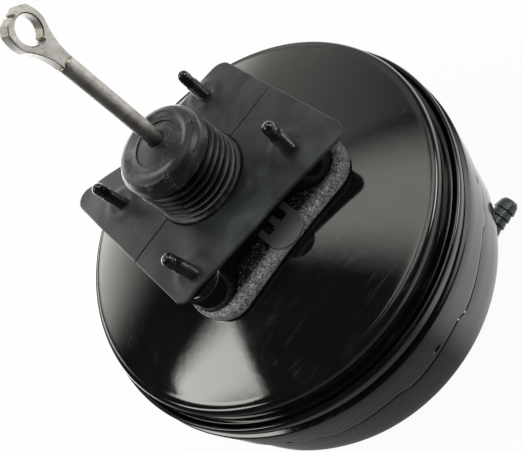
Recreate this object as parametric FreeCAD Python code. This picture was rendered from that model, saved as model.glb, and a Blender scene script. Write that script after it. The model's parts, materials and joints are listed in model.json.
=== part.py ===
"""Vacuum brake booster, tandem type, 10 inch shell.

Origin: centre of the four rear studs, on the outer face of the rubber flange that
seats on the bulkhead. +Z points rearwards along the booster, out of that face and
towards the pedal. The master cylinder end points along -Z. Millimetres.
"""
import FreeCAD, Part
import math
import os

V = FreeCAD.Vector

# Rear mounting
stud_spacing = 80.0
stud_d = 8.0
stud_reach = 23.0
stud_point_d = 6.6
stud_point_length = 9.5
stud_shoulder_length = 1.2
stud_tip_chamfer = 1.5
stud_head_d = 15.0
stud_head_height = 3.0
stud_hole_clearance = 0.8
stud_collar = 0.6

# Rubber flange plate, its sides slanting and one corner drawn out
flange_thickness = 2.5
flange_high_y = 64.5
flange_low_y = -61.6
flange_right_x = 61.5
flange_left_x = -50.5
flange_foot_x = 47.5
flange_foot_rise = 4.6
flange_waist_x = -55.0
flange_waist_y = 14.0
flange_flare_x = -63.0
flange_flare_y = -20.0
flange_ear_x = -88.0
flange_corner_r = 8.0
flange_bend_r = 20.0
flange_hole_clearance = 0.3

# Tower of the rear shell
lobe_r = 14.0
tower_half = 43.0
tower_edge_r = 2.0
hub_r = 25.0
hub_depth = 20.0
rear_seal_drop = 2.0
rear_seal_length = 7.0
rear_bearing_length = 7.0

# Shells. The widest radius is the skirt's, and the rim, the dome and what is clamped
# in the rim keep their distances from it
skirt_r = 128.2
shell_wall = 1.8
shoulder_r = skirt_r - 8.2
dome_sphere_r = 3.1333 * shoulder_r
dome_top_z = -23.2
dome_edge_z = dome_top_z - dome_sphere_r + (dome_sphere_r ** 2 - shoulder_r ** 2) ** 0.5
shoulder_round = 7.0
shoulder_z = dome_edge_z - 8.137
neck_r = shoulder_r - 2.5
neck_drop = 2.2
rim_z = shoulder_z - 6.0
rim_clearance = 0.3
rim_bend = 0.4
mouth_z = shoulder_z - 3.5
mouth_lead = 2.0
mouth_slope = 3.0
band_r = skirt_r - 1.7
band_z = mouth_z - 9.0
bead_groove_depth = 1.8
bead_groove_width = 3.0
groove_slope = 1.0
skirt_slope = 2.0
skirt_length = 32.5
skirt_end_z = band_z - skirt_length
step_length = 3.0
step_height = 1.2
scallop_count = 16
scallop_width = 11.0
scallop_phase = 14.0
front_r = skirt_r - step_height
front_round = 10.0
front_z = -142.0
pad_r = 60.0
pad_slope = 6.0
pad_z = -150.0
lance_count = 8
lance_phase = 2.0
lance_width = 4.0
lance_height = 1.4
lance_from_skirt_end = 6.0
lance_depth = 3.0

# Front mounting
front_stud_spacing = 82.0
front_stud_d = 10.0
front_stud_reach = 24.0
front_stud_head = 3.5
front_stud_chamfer = 1.5
spigot_r = 20.0
front_hub_depth = 12.0
front_lip_r = 12.0
front_seal_length = 4.0
front_seal_chamfer = 0.8
reinforcement_wall = 2.0

# Travel of the moving pieces
stroke = 28.0
valve_travel = 1.8
poppet_travel = 0.8
disc_lift = 1.5

# Valve body
valve_neck_r = 19.0
valve_neck_top_z = 31.0
valve_flange_r = 34.0
valve_flange_z = -47.5
valve_flange_height = 4.5
valve_barrel_r = 24.0
valve_nose_r = 21.0
valve_nose_z = -99.0
rear_bore_r = 15.5
rear_bore_z = -16.0
poppet_bore_r = 12.9
poppet_thickness = 2.5
spring_seat_z = 10.0
seat_z = -24.0
plunger_r = 9.0
nose_r = 6.0
nose_step_z = -56.0
passage_r = 2.5
passage_circle_r = 17.5
passage_top_z = -33.0
key_thickness = 2.5
key_half_width = 8.3
key_rise = 3.6
key_side_gap = 0.2
key_face_gap = 0.15
key_slot_gap = 0.9
plunger_chamfer = 1.0
plunger_groove_gap = 0.3
plunger_step_gap = 0.2
plunger_nose_gap = 0.4
socket_mouth_inset = 0.9
poppet_gap = 0.1
poppet_side_gap = 0.9
poppet_face_width = 2.4
bellows_neck_gap = 1.4
bellows_fold = 1.2
bellows_rim_reach = 1.6
bellows_wall = 0.8
retainer_base_gap = 1.0
retainer_height = 12.0
retainer_neck_gap = 3.6
retainer_lip = 1.2
retainer_lip_height = 10.0
silencer_low = 5.0
silencer_high = 11.0
filter_bore_gap = 5.4
filter_drop = 1.5
filter_side_gap = 0.1
front_bore_r = 13.2
front_bore_z = -64.5
running_gap = 0.08
soft_gap = 0.3

# Diaphragm stack
plate_wall = 1.5
rubber_wall = 2.0
divider_inset = 11.0
rear_plate_inset = 14.5
front_plate_inset = 11.5
front_plate_drop = 8.0
divider_r = band_r - divider_inset
rear_plate_r = divider_r - rear_plate_inset
divider_z = valve_flange_z - valve_flange_height - stroke - 2.0
divider_hub_r = 27.0
divider_hub_length = 7.5
front_plate_z = divider_z - front_plate_drop
front_plate_r = divider_r - front_plate_inset
front_plate_dish = 3.0
front_plate_dish_r = 40.0
plate_rim = 6.0
bead_width = 4.0
bead_height = 3.5
rim_lip = 1.5
rear_fold_depth = 8.0
front_fold_depth = 12.0
bead_tuck = 3.0
bead_tuck_drop = 0.6
rear_fold_gap = 2.5
front_fold_gap = 2.0
hub_overlap = 1.0
dish_slope = 3.0

# Input pushrod
ball_z = -39.0
ball_r = 6.0
rod_r = 4.5
rod_neck_r = 3.4
rod_neck_length = 16.0
rod_cone_length = 4.0
ball_flat = 0.6
rod_tilt = 2.9
rod_tilt_azimuth = 132.5
eye_azimuth = 28.6
eye_distance = 158.5
eye_hole_r = 6.5
eye_thickness = 6.0
eye_half_width = 9.5
eye_end = 8.5
eye_neck_length = 21.0
eye_neck_half = 3.6
eye_neck_swell = 1.6
eye_neck_lap = 1.5
eye_cheek_drop = 3.5
eye_shoulder_drop = 2.2
eye_edge_r = 0.4
eye_hole_chamfer = 0.5
keyway_width = 3.4
keyway_depth = 1.4
notch_width = 2.0
notch_depth = 1.0
seat_washer_r = 9.6
seat_washer_thickness = 1.5

# Rubber boot
boot_ring_r = 28.0
boot_ridge_r = 26.8
boot_valley_r = 24.0
boot_cap_r = 25.5
boot_ridge_count = 5
boot_head_room = 7.0
boot_height = valve_neck_top_z + boot_head_room
boot_cap_height = 13.0
boot_wall = 1.4
boot_hole_clearance = 0.8
boot_base_height = 1.6
boot_fold_start = 3.0
boot_ridge_taper = 0.25
boot_cap_edge = 5.0
boot_cap_bevel = 1.5
boot_cap_dip_r = 15.0
boot_cap_dip = 0.6

# Foam gasket and the tab that holds it
foam_half_x = 60.0
foam_high_y = 61.0
foam_low_y = -56.5
foam_corner_r = 20.0
foam_top_z = -20.0
tab_half_width = 11.3
tab_overhang = 22.0
tab_reach = tower_half + tab_overhang
tab_offset_y = 6.0
tab_thickness = 2.0
tab_edge_r = 0.5
tab_prong_width = 4.0
tab_slot_depth = 7.0

# Output side
output_head_r = 13.0
output_rod_r = 6.0
output_tip_z = -153.0
screw_r = 4.0
screw_length = 9.0
screw_round = 1.5
screw_hexagon_r = 5.5
screw_hexagon_height = 3.0
screw_hexagon_gap = 0.5
screw_engagement = 12.0
output_head_height = 5.0
output_collar = 2.0
output_collar_height = 4.0
head_retainer_height = 2.0
reaction_thickness = 5.5

# Check valve
check_radius = skirt_r - 23.2
check_azimuth = 43.5
grommet_hole_r = 9.0
grommet_flange_r = 11.5
grommet_flange_height = 3.0
grommet_lip_height = 3.5
stem_r = 5.5
stem_inside = 7.0
stem_chamfer = 1.0
check_body_r = 10.0
check_body_top_z = -146.0
check_chamber_depth = 7.5 + disc_lift
check_wall = 1.5
check_disc_thickness = 1.5
check_side_wall = 2.5
check_disc_gap = 1.0
check_body_taper = 2.0
check_body_length = check_chamber_depth + 2 * check_wall
elbow_z = -165.0
elbow_r = 8.0
nipple_root_r = 5.6
nipple_ridge_r = 7.3
nipple_length = 40.0
nipple_straight = 16.0
nipple_tip_length = 2.0
nipple_ridge_foot = 0.5
nipple_tip_inset = 0.8
nipple_ridges = 4
nipple_bore_r = 3.2

# Springs
wire_sides = 8
retainer_wall = 1.0
return_wire = 3.6
return_coil_r = 30.0
return_turns = 5.5
poppet_wire = 0.9
poppet_coil_inset = 0.6
poppet_turns = 4
valve_wire = 1.4
valve_coil_inset = 0.2
valve_turns = 4.5
valve_seat_gap = 0.9
check_wire = 0.8
check_coil_r = 5.0
check_turns = 3


def polar(radius, degrees, z=0.0):
    """Point at a radius and azimuth about the booster's axis."""
    angle = math.radians(degrees)
    return V(radius * math.cos(angle), radius * math.sin(angle), z)


def tube(outer, inner, z_low, z_high, x=0.0, y=0.0):
    """Ring between two radii and two heights."""
    height = z_high - z_low
    ring = Part.makeCylinder(outer, height, V(x, y, z_low))
    return ring.cut(Part.makeCylinder(inner, height, V(x, y, z_low)))


def turned(points):
    """Solid of revolution of a closed outline of (radius, height) points."""
    corners = [V(r, 0, z) for r, z in points]
    outline = Part.makePolygon(corners + [corners[0]])
    return Part.Face(outline).revolve(V(0, 0, 0), V(0, 0, 1), 360)


def unit(a, b):
    length = math.hypot(b[0] - a[0], b[1] - a[1])
    return ((b[0] - a[0]) / length, (b[1] - a[1]) / length)


def rounded_edges(points, left_bends, right_bends):
    """Lines of a path joined by tangent arcs, with a radius for each inner point
    if the path turns left there, and one if it turns right."""
    edges = []
    start = points[0]
    for index in range(1, len(points) - 1):
        corner = points[index]
        before = unit(points[index - 1], corner)
        after = unit(corner, points[index + 1])
        cross = before[0] * after[1] - before[1] * after[0]
        turn = math.atan2(cross, before[0] * after[0] + before[1] * after[1])
        radius = left_bends[index - 1] if cross > 0 else right_bends[index - 1]
        reach = radius * math.tan(abs(turn) / 2)
        arc_start = (corner[0] - before[0] * reach, corner[1] - before[1] * reach)
        arc_end = (corner[0] + after[0] * reach, corner[1] + after[1] * reach)
        side = 1 if cross > 0 else -1
        centre = (arc_start[0] - before[1] * radius * side,
                  arc_start[1] + before[0] * radius * side)
        towards = unit(centre, corner)
        middle = (centre[0] + towards[0] * radius, centre[1] + towards[1] * radius)
        edges.append(Part.LineSegment(V(start[0], 0, start[1]),
                                      V(arc_start[0], 0, arc_start[1])).toShape())
        edges.append(Part.Arc(V(arc_start[0], 0, arc_start[1]),
                              V(middle[0], 0, middle[1]),
                              V(arc_end[0], 0, arc_end[1])).toShape())
        start = arc_end
    last = points[-1]
    edges.append(Part.LineSegment(V(start[0], 0, start[1]), V(last[0], 0, last[1])).toShape())
    return edges


def pressing(points, wall, bend=1.5):
    """Sheet turned about the axis: a bent path of (radius, height) points. A positive
    wall lies on the left of its direction, and bend is the inside radius of its bends."""
    count = len(points)
    lefts = []
    for index in range(count - 1):
        d = unit(points[index], points[index + 1])
        lefts.append((-d[1], d[0]))
    offset = []
    for index, point in enumerate(points):
        a = lefts[max(index - 1, 0)]
        b = lefts[min(index, count - 2)]
        scale = wall / (1 + a[0] * b[0] + a[1] * b[1])
        offset.append((point[0] + (a[0] + b[0]) * scale, point[1] + (a[1] + b[1]) * scale))
    inside = bend if isinstance(bend, list) else [bend] * (count - 2)
    outside = [size + abs(wall) for size in inside]
    wall_bends, open_bends = (outside, inside) if wall > 0 else (inside, outside)
    base = rounded_edges(points, wall_bends, open_bends)
    far = rounded_edges(offset, open_bends, wall_bends)
    first = Part.LineSegment(V(points[0][0], 0, points[0][1]),
                             V(offset[0][0], 0, offset[0][1])).toShape()
    last = Part.LineSegment(V(points[-1][0], 0, points[-1][1]),
                            V(offset[-1][0], 0, offset[-1][1])).toShape()
    wire = Part.Wire(Part.__sortEdges__(base + [last] + far + [first]))
    return Part.Face(wire).revolve(V(0, 0, 0), V(0, 0, 1), 360)


def rounded_plate(half_x, half_y, corner_r, z_low, z_high):
    """Plate with four round corners."""
    plate = Part.makeBox(2 * half_x, 2 * half_y, z_high - z_low, V(-half_x, -half_y, z_low))
    upright = [e for e in plate.Edges if abs(e.Vertexes[0].Z - e.Vertexes[-1].Z) > 1e-6]
    return plate.makeFillet(corner_r, upright)


def stud_places(spacing):
    half = spacing / 2
    return [(-half, half), (-half, -half), (half, -half), (half, half)]


def coil(mean_r, wire_d, z_low, z_high, turns, x=0.0, y=0.0):
    """Helical spring between two seats, its wire given a few flat sides."""
    height = z_high - z_low - wire_d
    path = Part.makeHelix(height / turns, height, mean_r)
    corners = []
    for index in range(wire_sides):
        angle = 2 * math.pi * index / wire_sides
        corners.append(V(mean_r + wire_d / 2 * math.cos(angle), 0, wire_d / 2 * math.sin(angle)))
    section = Part.makePolygon(corners + [corners[0]])
    spring = Part.Wire(path).makePipeShell([section], True, True)
    spring.translate(V(x, y, z_low + wire_d / 2))
    return spring


def tower_outline(inset, z_low, z_high):
    """Four round stud lobes round a square, all drawn in by an inset."""
    solid = Part.makeBox(2 * (tower_half - inset), 2 * (tower_half - inset), z_high - z_low,
                         V(inset - tower_half, inset - tower_half, z_low))
    for x, y in stud_places(stud_spacing):
        solid = solid.fuse(Part.makeCylinder(lobe_r - inset, z_high - z_low, V(x, y, z_low)))
    return solid.removeSplitter()


def dome(inset, z_low):
    """Spherical cap on a drum, with its shoulder rounded."""
    sphere = Part.makeSphere(dome_sphere_r - inset, V(0, 0, dome_top_z - dome_sphere_r))
    drum = Part.makeCylinder(shoulder_r - inset, dome_top_z - z_low + 5, V(0, 0, z_low))
    cap = drum.common(sphere)
    top = [e for e in cap.Edges
           if e.BoundBox.XMax > shoulder_r - inset - 0.1 and e.BoundBox.ZMin > z_low + 1]
    return cap.makeFillet(shoulder_round - inset, [e for e in top if len(e.Vertexes) == 1])


def rear_shell():
    outer = dome(0, shoulder_z)
    tower = tower_outline(0, shoulder_z, -flange_thickness)
    tops = [e for e in tower.Edges if e.BoundBox.ZMin > -flange_thickness - 0.01]
    tower = tower.makeFillet(tower_edge_r, tops)
    inner = dome(shell_wall, shoulder_z)
    hollow = tower_outline(shell_wall, shoulder_z, -flange_thickness - shell_wall)
    shell = outer.fuse(tower).cut(inner.fuse(hollow))
    rim_r = mouth_inner_r() - rim_clearance
    rim = pressing([(shoulder_r, shoulder_z), (neck_r, shoulder_z - neck_drop),
                    (rim_r, rim_z + shell_wall), (rim_r, rim_z - rim_lip)],
                   -shell_wall, rim_bend)
    hub = tube(hub_r + shell_wall, hub_r, -flange_thickness - hub_depth, -flange_thickness)
    shell = shell.fuse(hub)
    shell = shell.cut(Part.makeCylinder(hub_r, 2 * hub_depth, V(0, 0, -hub_depth)))
    for x, y in stud_places(stud_spacing):
        hole_r = stud_d / 2 + stud_hole_clearance
        shell = shell.cut(Part.makeCylinder(hole_r, 10, V(x, y, -flange_thickness - 5)))
    return shell.fuse(rim).removeSplitter()


def mouth_inner_r():
    return band_r - mouth_lead - shell_wall


def front_shell():
    groove_r = band_r - bead_groove_depth
    groove_z = band_z - bead_groove_width
    path = [(band_r - mouth_lead, mouth_z), (band_r, mouth_z - mouth_slope), (band_r, band_z),
            (groove_r, band_z - groove_slope), (groove_r, groove_z),
            (skirt_r, groove_z - skirt_slope),
            (skirt_r, skirt_end_z), (front_r, skirt_end_z - step_length), (front_r, front_z),
            (pad_r + pad_slope, front_z), (pad_r, pad_z), (spigot_r, pad_z),
            (spigot_r, pad_z + front_hub_depth), (front_lip_r, pad_z + front_hub_depth)]
    bends = [1, 1, 0.5, 0.5, 1, 1, 1, front_round - shell_wall, 3, 3, 1.5, 0.6]
    shell = pressing(path, -shell_wall, bends)
    for index in range(lance_count):
        shell = shell.cut(lance_slot(lance_phase + 360.0 * index / lance_count))
    for index in range(scallop_count):
        shell = shell.cut(scallop(scallop_phase + 360.0 * index / scallop_count))
    for x in (-front_stud_spacing / 2, front_stud_spacing / 2):
        hole_r = front_stud_d / 2 + stud_hole_clearance
        shell = shell.cut(Part.makeCylinder(hole_r, 8, V(x, 0, pad_z - 2)))
    port = polar(check_radius, check_azimuth, front_z - 4)
    return shell.cut(Part.makeCylinder(grommet_hole_r, 10, port))


def lance_slot(azimuth):
    """Cut of one lance through the skirt."""
    slot = Part.makeBox(2 * lance_depth, lance_width, lance_height,
                        V(skirt_r - lance_depth, -lance_width / 2,
                          skirt_end_z + lance_from_skirt_end))
    slot.rotate(V(0, 0, 0), V(0, 0, 1), azimuth)
    return slot


def scallop(azimuth):
    """Cut of one round notch into the edge of the skirt, above the front barrel."""
    notch = Part.makeCylinder(scallop_width / 2, 2 * (skirt_r - front_r),
                              V(front_r, 0, skirt_end_z - step_length / 2), V(1, 0, 0))
    barrel = Part.makeCylinder(front_r + 0.1, 2 * scallop_width,
                               V(0, 0, skirt_end_z - scallop_width))
    notch = notch.cut(barrel)
    notch.rotate(V(0, 0, 0), V(0, 0, 1), azimuth)
    return notch


def rear_reinforcement():
    top = -flange_thickness - shell_wall
    plate = tower_outline(shell_wall + 1, top - reinforcement_wall, top)
    plate = plate.cut(Part.makeCylinder(hub_r + shell_wall + 0.2, 10, V(0, 0, top - 5)))
    for x, y in stud_places(stud_spacing):
        hole_r = stud_d / 2 + stud_hole_clearance
        plate = plate.cut(Part.makeCylinder(hole_r, 10, V(x, y, top - 5)))
    return plate


def rear_studs():
    seat = -flange_thickness - shell_wall - reinforcement_wall
    thread_end = stud_reach - stud_point_length
    outline = [(0, seat - stud_head_height), (stud_head_d / 2, seat - stud_head_height),
               (stud_head_d / 2, seat), (stud_d / 2 + stud_collar, seat),
               (stud_d / 2 + stud_collar, 0), (stud_d / 2, 0), (stud_d / 2, thread_end),
               (stud_point_d / 2, thread_end + stud_shoulder_length),
               (stud_point_d / 2, stud_reach - stud_tip_chamfer),
               (stud_point_d / 2 - stud_tip_chamfer, stud_reach), (0, stud_reach)]
    stud = turned(outline)
    return [stud.translated(V(x, y, 0)) for x, y in stud_places(stud_spacing)]


def flange():
    """Rubber sheet with slanting sides and one corner drawn out into an ear."""
    ear = V(flange_ear_x, flange_low_y, 0)
    foot = V(flange_foot_x, flange_low_y + flange_foot_rise, 0)
    sharp = [V(flange_right_x, flange_high_y, 0), V(flange_left_x, flange_high_y, 0), ear, foot]
    bends = [V(flange_waist_x, flange_waist_y, 0), V(flange_flare_x, flange_flare_y, 0)]
    around = sharp[:2] + bends + sharp[2:]
    outline = Part.makePolygon(around + around[:1])
    plate = Part.Face(outline).extrude(V(0, 0, -flange_thickness))
    plate = plate.makeFillet(flange_corner_r, upright_edges(plate, sharp))
    plate = plate.makeFillet(flange_bend_r, upright_edges(plate, bends))
    hole_r = boot_ring_r + flange_hole_clearance
    plate = plate.cut(Part.makeCylinder(hole_r, 20, V(0, 0, -10)))
    for x, y in stud_places(stud_spacing):
        hole_r = stud_d / 2 + stud_hole_clearance
        plate = plate.cut(Part.makeCylinder(hole_r, 20, V(x, y, -10)))
    return plate


def upright_edges(solid, places):
    """Edges along Z of a solid that stand at the given points."""
    found = []
    for edge in solid.Edges:
        low, high = edge.Vertexes[0].Point, edge.Vertexes[-1].Point
        foot = V(low.x, low.y, 0)
        if abs(low.z - high.z) > 1e-6 and min(foot.distanceToPoint(p) for p in places) < 0.01:
            found.append(edge)
    return found


def boot():
    """Bellows boot: base ring on the tower, ridges that shrink rearwards, domed cap."""
    fold_top = boot_height - boot_cap_height
    pitch = (fold_top - boot_fold_start) / boot_ridge_count
    outer = [(boot_ring_r, -flange_thickness), (boot_ring_r, boot_base_height),
             (boot_valley_r + 1, boot_fold_start)]
    for index in range(boot_ridge_count):
        level = boot_fold_start + pitch * index
        outer.append((boot_ridge_r - boot_ridge_taper * index, level + pitch * 0.5))
        outer.append((boot_valley_r, level + pitch))
    outer += [(boot_cap_r, fold_top + 2.0), (boot_cap_r, boot_height - boot_cap_edge),
              (boot_cap_r - boot_cap_bevel, boot_height - 2.0),
              (boot_cap_r - boot_cap_edge, boot_height),
              (boot_cap_dip_r, boot_height - boot_cap_dip), (0, boot_height - 2.0)]
    inner = [(r - boot_wall, z) for r, z in outer[3:-4]]
    cap_inside = boot_height - 2.0 - boot_wall - 2.5
    profile = outer + [(0, cap_inside), (boot_cap_r - boot_wall - 2.5, cap_inside)]
    profile += list(reversed(inner)) + [(boot_valley_r - boot_wall, -flange_thickness)]
    skin = turned(profile)
    hole = Part.makeCylinder(rod_r + boot_hole_clearance, 60, V(0, 0, boot_height - ball_z - 30))
    hole.Placement = rod_placement().multiply(hole.Placement)
    return skin.cut(hole)


def foam_gasket():
    half_y = (foam_high_y - foam_low_y) / 2
    block = rounded_plate(foam_half_x, half_y, foam_corner_r, shoulder_z, foam_top_z)
    block.translate(V(0, foam_high_y - half_y, 0))
    block = block.cut(tower_outline(-soft_gap, shoulder_z - 1, 0))
    return block.cut(dome(0, shoulder_z - 1))


def gasket_tab():
    """Round-ended tab that lies on the foam and hooks on the tower with prongs."""
    end_r = tab_half_width
    inside = tower_half + soft_gap
    straight = tab_reach - end_r - inside
    plate = Part.makeBox(straight, 2 * tab_half_width, tab_thickness,
                         V(inside, tab_offset_y - tab_half_width, foam_top_z))
    plate = plate.fuse(Part.makeCylinder(end_r, tab_thickness,
                                         V(inside + straight, tab_offset_y, foam_top_z)))
    room = Part.makeBox(tab_reach, 4 * tab_half_width, tab_thickness,
                        V(inside, tab_offset_y - 2 * tab_half_width, foam_top_z))
    plate = plate.common(room)
    gap = (2 * tab_half_width - 3 * tab_prong_width) / 2
    for side in (-1, 1):
        centre = tab_offset_y + side * (tab_prong_width / 2 + gap / 2)
        slot = Part.makeBox(tab_slot_depth, gap, 3 * tab_thickness,
                            V(inside, centre - gap / 2, foam_top_z - tab_thickness))
        plate = plate.cut(slot)
    plate = plate.removeSplitter()
    top = foam_top_z + tab_thickness
    rim = [e for e in plate.Edges
           if e.BoundBox.ZMin > top - 0.01 and e.BoundBox.XMax > inside + straight - 0.01]
    return plate.makeFillet(tab_edge_r, rim)


def rear_seal():
    top = -flange_thickness - rear_seal_drop
    return tube(hub_r, valve_neck_r + running_gap, top - rear_seal_length, top)


def rear_bearing():
    top = -flange_thickness - rear_seal_drop - rear_seal_length
    return tube(hub_r, valve_neck_r + running_gap, top - rear_bearing_length, top)


def bearing_retainer():
    low = -flange_thickness - hub_depth
    top = -flange_thickness - rear_seal_drop - rear_seal_length - rear_bearing_length
    return tube(hub_r, valve_neck_r + 1.0, low, top)


def front_reinforcement():
    inside = pad_z + shell_wall
    plate = tube(pad_r - 4, spigot_r + shell_wall + 2.0, inside, inside + reinforcement_wall)
    for x in (-front_stud_spacing / 2, front_stud_spacing / 2):
        hole_r = front_stud_d / 2 + stud_hole_clearance
        plate = plate.cut(Part.makeCylinder(hole_r, 8, V(x, 0, inside - 2)))
    return plate


def front_studs():
    seat = pad_z + shell_wall + reinforcement_wall
    tip = pad_z - front_stud_reach
    head_r = front_stud_d / 2 + front_stud_head
    head_z = seat + front_stud_head
    collar_r = front_stud_d / 2 + stud_collar
    outline = [(0, head_z), (head_r, head_z), (head_r, seat), (collar_r, seat),
               (collar_r, pad_z), (front_stud_d / 2, pad_z),
               (front_stud_d / 2, tip + front_stud_chamfer),
               (front_stud_d / 2 - front_stud_chamfer, tip), (0, tip)]
    stud = turned(outline)
    half = front_stud_spacing / 2
    return [stud.translated(V(x, 0, 0)) for x in (-half, half)]


def front_seal():
    top = pad_z + front_hub_depth
    low = top - front_seal_length
    bore_r = output_rod_r + running_gap
    return turned([(bore_r, low), (spigot_r, low), (spigot_r, top - front_seal_chamfer),
                   (spigot_r - front_seal_chamfer, top), (bore_r, top)])


def return_spring():
    low = pad_z + shell_wall + reinforcement_wall
    high = front_plate_z - front_plate_dish - plate_wall
    return coil(return_coil_r, return_wire, low, high, return_turns)


def divider():
    path = [(mouth_inner_r() - rim_clearance, clamp_z()), (divider_r, clamp_z()),
            (divider_r, divider_z), (divider_hub_r, divider_z),
            (divider_hub_r, divider_z - plate_wall - divider_hub_length)]
    return pressing(path, plate_wall, [0.8, 2.5, 1.0])


def clamp_z():
    """Rear face of the divider's rim, under the bead of the rear diaphragm."""
    return rim_z - rim_lip - bead_height


def divider_seal():
    low = divider_z - plate_wall - divider_hub_length
    return tube(divider_hub_r, valve_barrel_r + running_gap, low, divider_z - plate_wall)


def rear_diaphragm():
    """Rolling diaphragm with a bead at its rim and a fold ahead of it."""
    bead_top = rim_z - rim_lip
    edge_r = mouth_inner_r() - rim_clearance
    bead = tube(edge_r, edge_r - bead_width, clamp_z(), bead_top)
    fold_r = divider_r - rubber_wall - rear_fold_gap
    fold_z = bead_top - rear_fold_depth
    sheet_r = rear_plate_r + rubber_wall
    sheet_z = valve_flange_z + plate_wall + rubber_wall
    tuck_z = bead_top - bead_tuck_drop
    path = [(edge_r - bead_tuck, tuck_z), (fold_r, tuck_z), (fold_r, fold_z),
            (sheet_r, fold_z), (sheet_r, sheet_z), (valve_neck_r + hub_overlap, sheet_z)]
    skin = pressing(path, rubber_wall, 0.5)
    return bead.fuse(skin).removeSplitter()


def rear_diaphragm_plate():
    top = valve_flange_z + plate_wall
    path = [(rear_plate_r, top - plate_rim), (rear_plate_r, top),
            (valve_neck_r + hub_overlap, top)]
    return pressing(path, plate_wall, 1.5)


def front_diaphragm():
    bead_top = clamp_z() - plate_wall
    edge_r = mouth_inner_r() - rim_clearance
    bead = tube(edge_r, edge_r - bead_width, bead_top - bead_height, bead_top)
    fold_r = divider_r + plate_wall + front_fold_gap
    fold_z = front_plate_z - front_fold_depth
    sheet_r = front_plate_r + rubber_wall
    sheet_z = front_plate_z + rubber_wall
    tuck_z = bead_top - 0.2
    path = [(edge_r - bead_tuck, tuck_z), (fold_r, tuck_z), (fold_r, fold_z),
            (sheet_r, fold_z), (sheet_r, sheet_z),
            (front_plate_dish_r + hub_overlap, sheet_z)]
    skin = pressing(path, rubber_wall, 0.5)
    return bead.fuse(skin).removeSplitter()


def front_diaphragm_plate():
    dish = front_plate_z - front_plate_dish
    path = [(front_plate_r, front_plate_z - plate_rim), (front_plate_r, front_plate_z),
            (front_plate_dish_r, front_plate_z), (front_plate_dish_r - dish_slope, dish),
            (valve_nose_r + 0.2, dish)]
    return pressing(path, plate_wall, 1.0)


def valve_body():
    """Moulded hub: slotted neck, flange for the rear plate, barrel and stepped bore."""
    flange_low = valve_flange_z - valve_flange_height
    shoulder = front_plate_z - front_plate_dish
    outline = [(0, valve_neck_top_z), (valve_neck_r, valve_neck_top_z),
               (valve_neck_r, valve_flange_z), (valve_flange_r, valve_flange_z),
               (valve_flange_r, flange_low), (valve_barrel_r, flange_low),
               (valve_barrel_r, shoulder), (valve_nose_r, shoulder),
               (valve_nose_r, valve_nose_z), (0, valve_nose_z)]
    bore = [(0, valve_neck_top_z + 1), (rear_bore_r, valve_neck_top_z + 1),
            (rear_bore_r, rear_bore_z), (poppet_bore_r, rear_bore_z),
            (poppet_bore_r, seat_z), (plunger_r + running_gap, seat_z),
            (plunger_r + running_gap, nose_step_z), (nose_r + running_gap, nose_step_z),
            (nose_r + running_gap, front_bore_z), (front_bore_r, front_bore_z),
            (front_bore_r, valve_nose_z - 1), (0, valve_nose_z - 1)]
    body = turned(outline).cut(turned(bore))
    key_way = key_block(valve_flange_r + 1, key_half_width + key_side_gap, key_face_gap)
    body = body.cut(key_way)
    passage_low = valve_nose_z - 1
    for azimuth in (90, 210, 330):
        body = body.cut(Part.makeCylinder(passage_r, passage_top_z - passage_low,
                                          polar(passage_circle_r, azimuth, passage_low)))
    return body


def key_block(reach, half_width, margin):
    low = key_z() - margin
    return Part.makeBox(reach + plunger_r, 2 * half_width, key_thickness + 2 * margin,
                        V(-plunger_r, -half_width, low))


def key_z():
    return nose_step_z + key_rise


def valve_key():
    """Flat fork that holds the plunger in the valve body."""
    key = key_block(valve_barrel_r - 2, key_half_width, 0)
    slot_half = nose_r + key_slot_gap
    slot = Part.makeBox(plunger_r + slot_half, 2 * slot_half, 10,
                        V(-plunger_r - 0.1, -slot_half, key_z() - 3))
    return key.cut(slot)


def control_plunger():
    """Plunger with the air seat, ball socket, key groove and nose."""
    top = seat_z + poppet_travel
    groove_high = key_z() + key_thickness + valve_travel + 0.1
    groove_low = key_z() - plunger_groove_gap
    groove_r = nose_r + plunger_groove_gap
    step_z = nose_step_z + valve_travel + plunger_step_gap
    nose_end = front_bore_z + valve_travel + plunger_nose_gap
    outline = [(0, top), (plunger_r - plunger_chamfer, top), (plunger_r, top - plunger_chamfer),
               (plunger_r, groove_high), (groove_r, groove_high), (groove_r, groove_low),
               (plunger_r, groove_low), (plunger_r, step_z), (nose_r, step_z),
               (nose_r, nose_end), (0, nose_end)]
    body = turned(outline)
    body = body.cut(Part.makeSphere(ball_r + running_gap, V(0, 0, ball_z)))
    mouth_r = ball_r - socket_mouth_inset
    return body.cut(Part.makeCylinder(mouth_r, top - ball_z + 1, V(0, 0, ball_z)))


def poppet():
    low = seat_z + poppet_travel + poppet_gap
    return tube(poppet_bore_r - poppet_side_gap, plunger_r - poppet_face_width,
                low, low + poppet_thickness)


def poppet_bellows():
    """Thin rubber neck between the poppet face and its clamped rim."""
    low = seat_z + poppet_travel + poppet_gap + poppet_thickness
    rim_low = rear_bore_z + 0.1
    neck = plunger_r + bellows_neck_gap
    path = [(neck, low), (neck + bellows_fold, low + bellows_fold),
            (neck, low + 2 * bellows_fold), (neck + bellows_rim_reach, rim_low),
            (rear_bore_r - 0.1, rim_low)]
    return pressing(path, bellows_wall, 0.2)


def poppet_retainer():
    """Cup that clamps the rim of the poppet and seats both valve springs."""
    low = rear_bore_z + retainer_base_gap
    neck = plunger_r + retainer_neck_gap
    path = [(rear_bore_r, low + retainer_height), (rear_bore_r, low), (neck, low),
            (neck, retainer_lip_z()), (plunger_r - retainer_lip, retainer_lip_z())]
    return pressing(path, -retainer_wall, 0.5)


def retainer_lip_z():
    """Front face of the lip that carries both valve springs."""
    return rear_bore_z + retainer_lip_height


def poppet_spring():
    low = seat_z + poppet_travel + poppet_gap + poppet_thickness
    coil_r = plunger_r - poppet_coil_inset
    return coil(coil_r, poppet_wire, low, retainer_lip_z(), poppet_turns)


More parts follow.
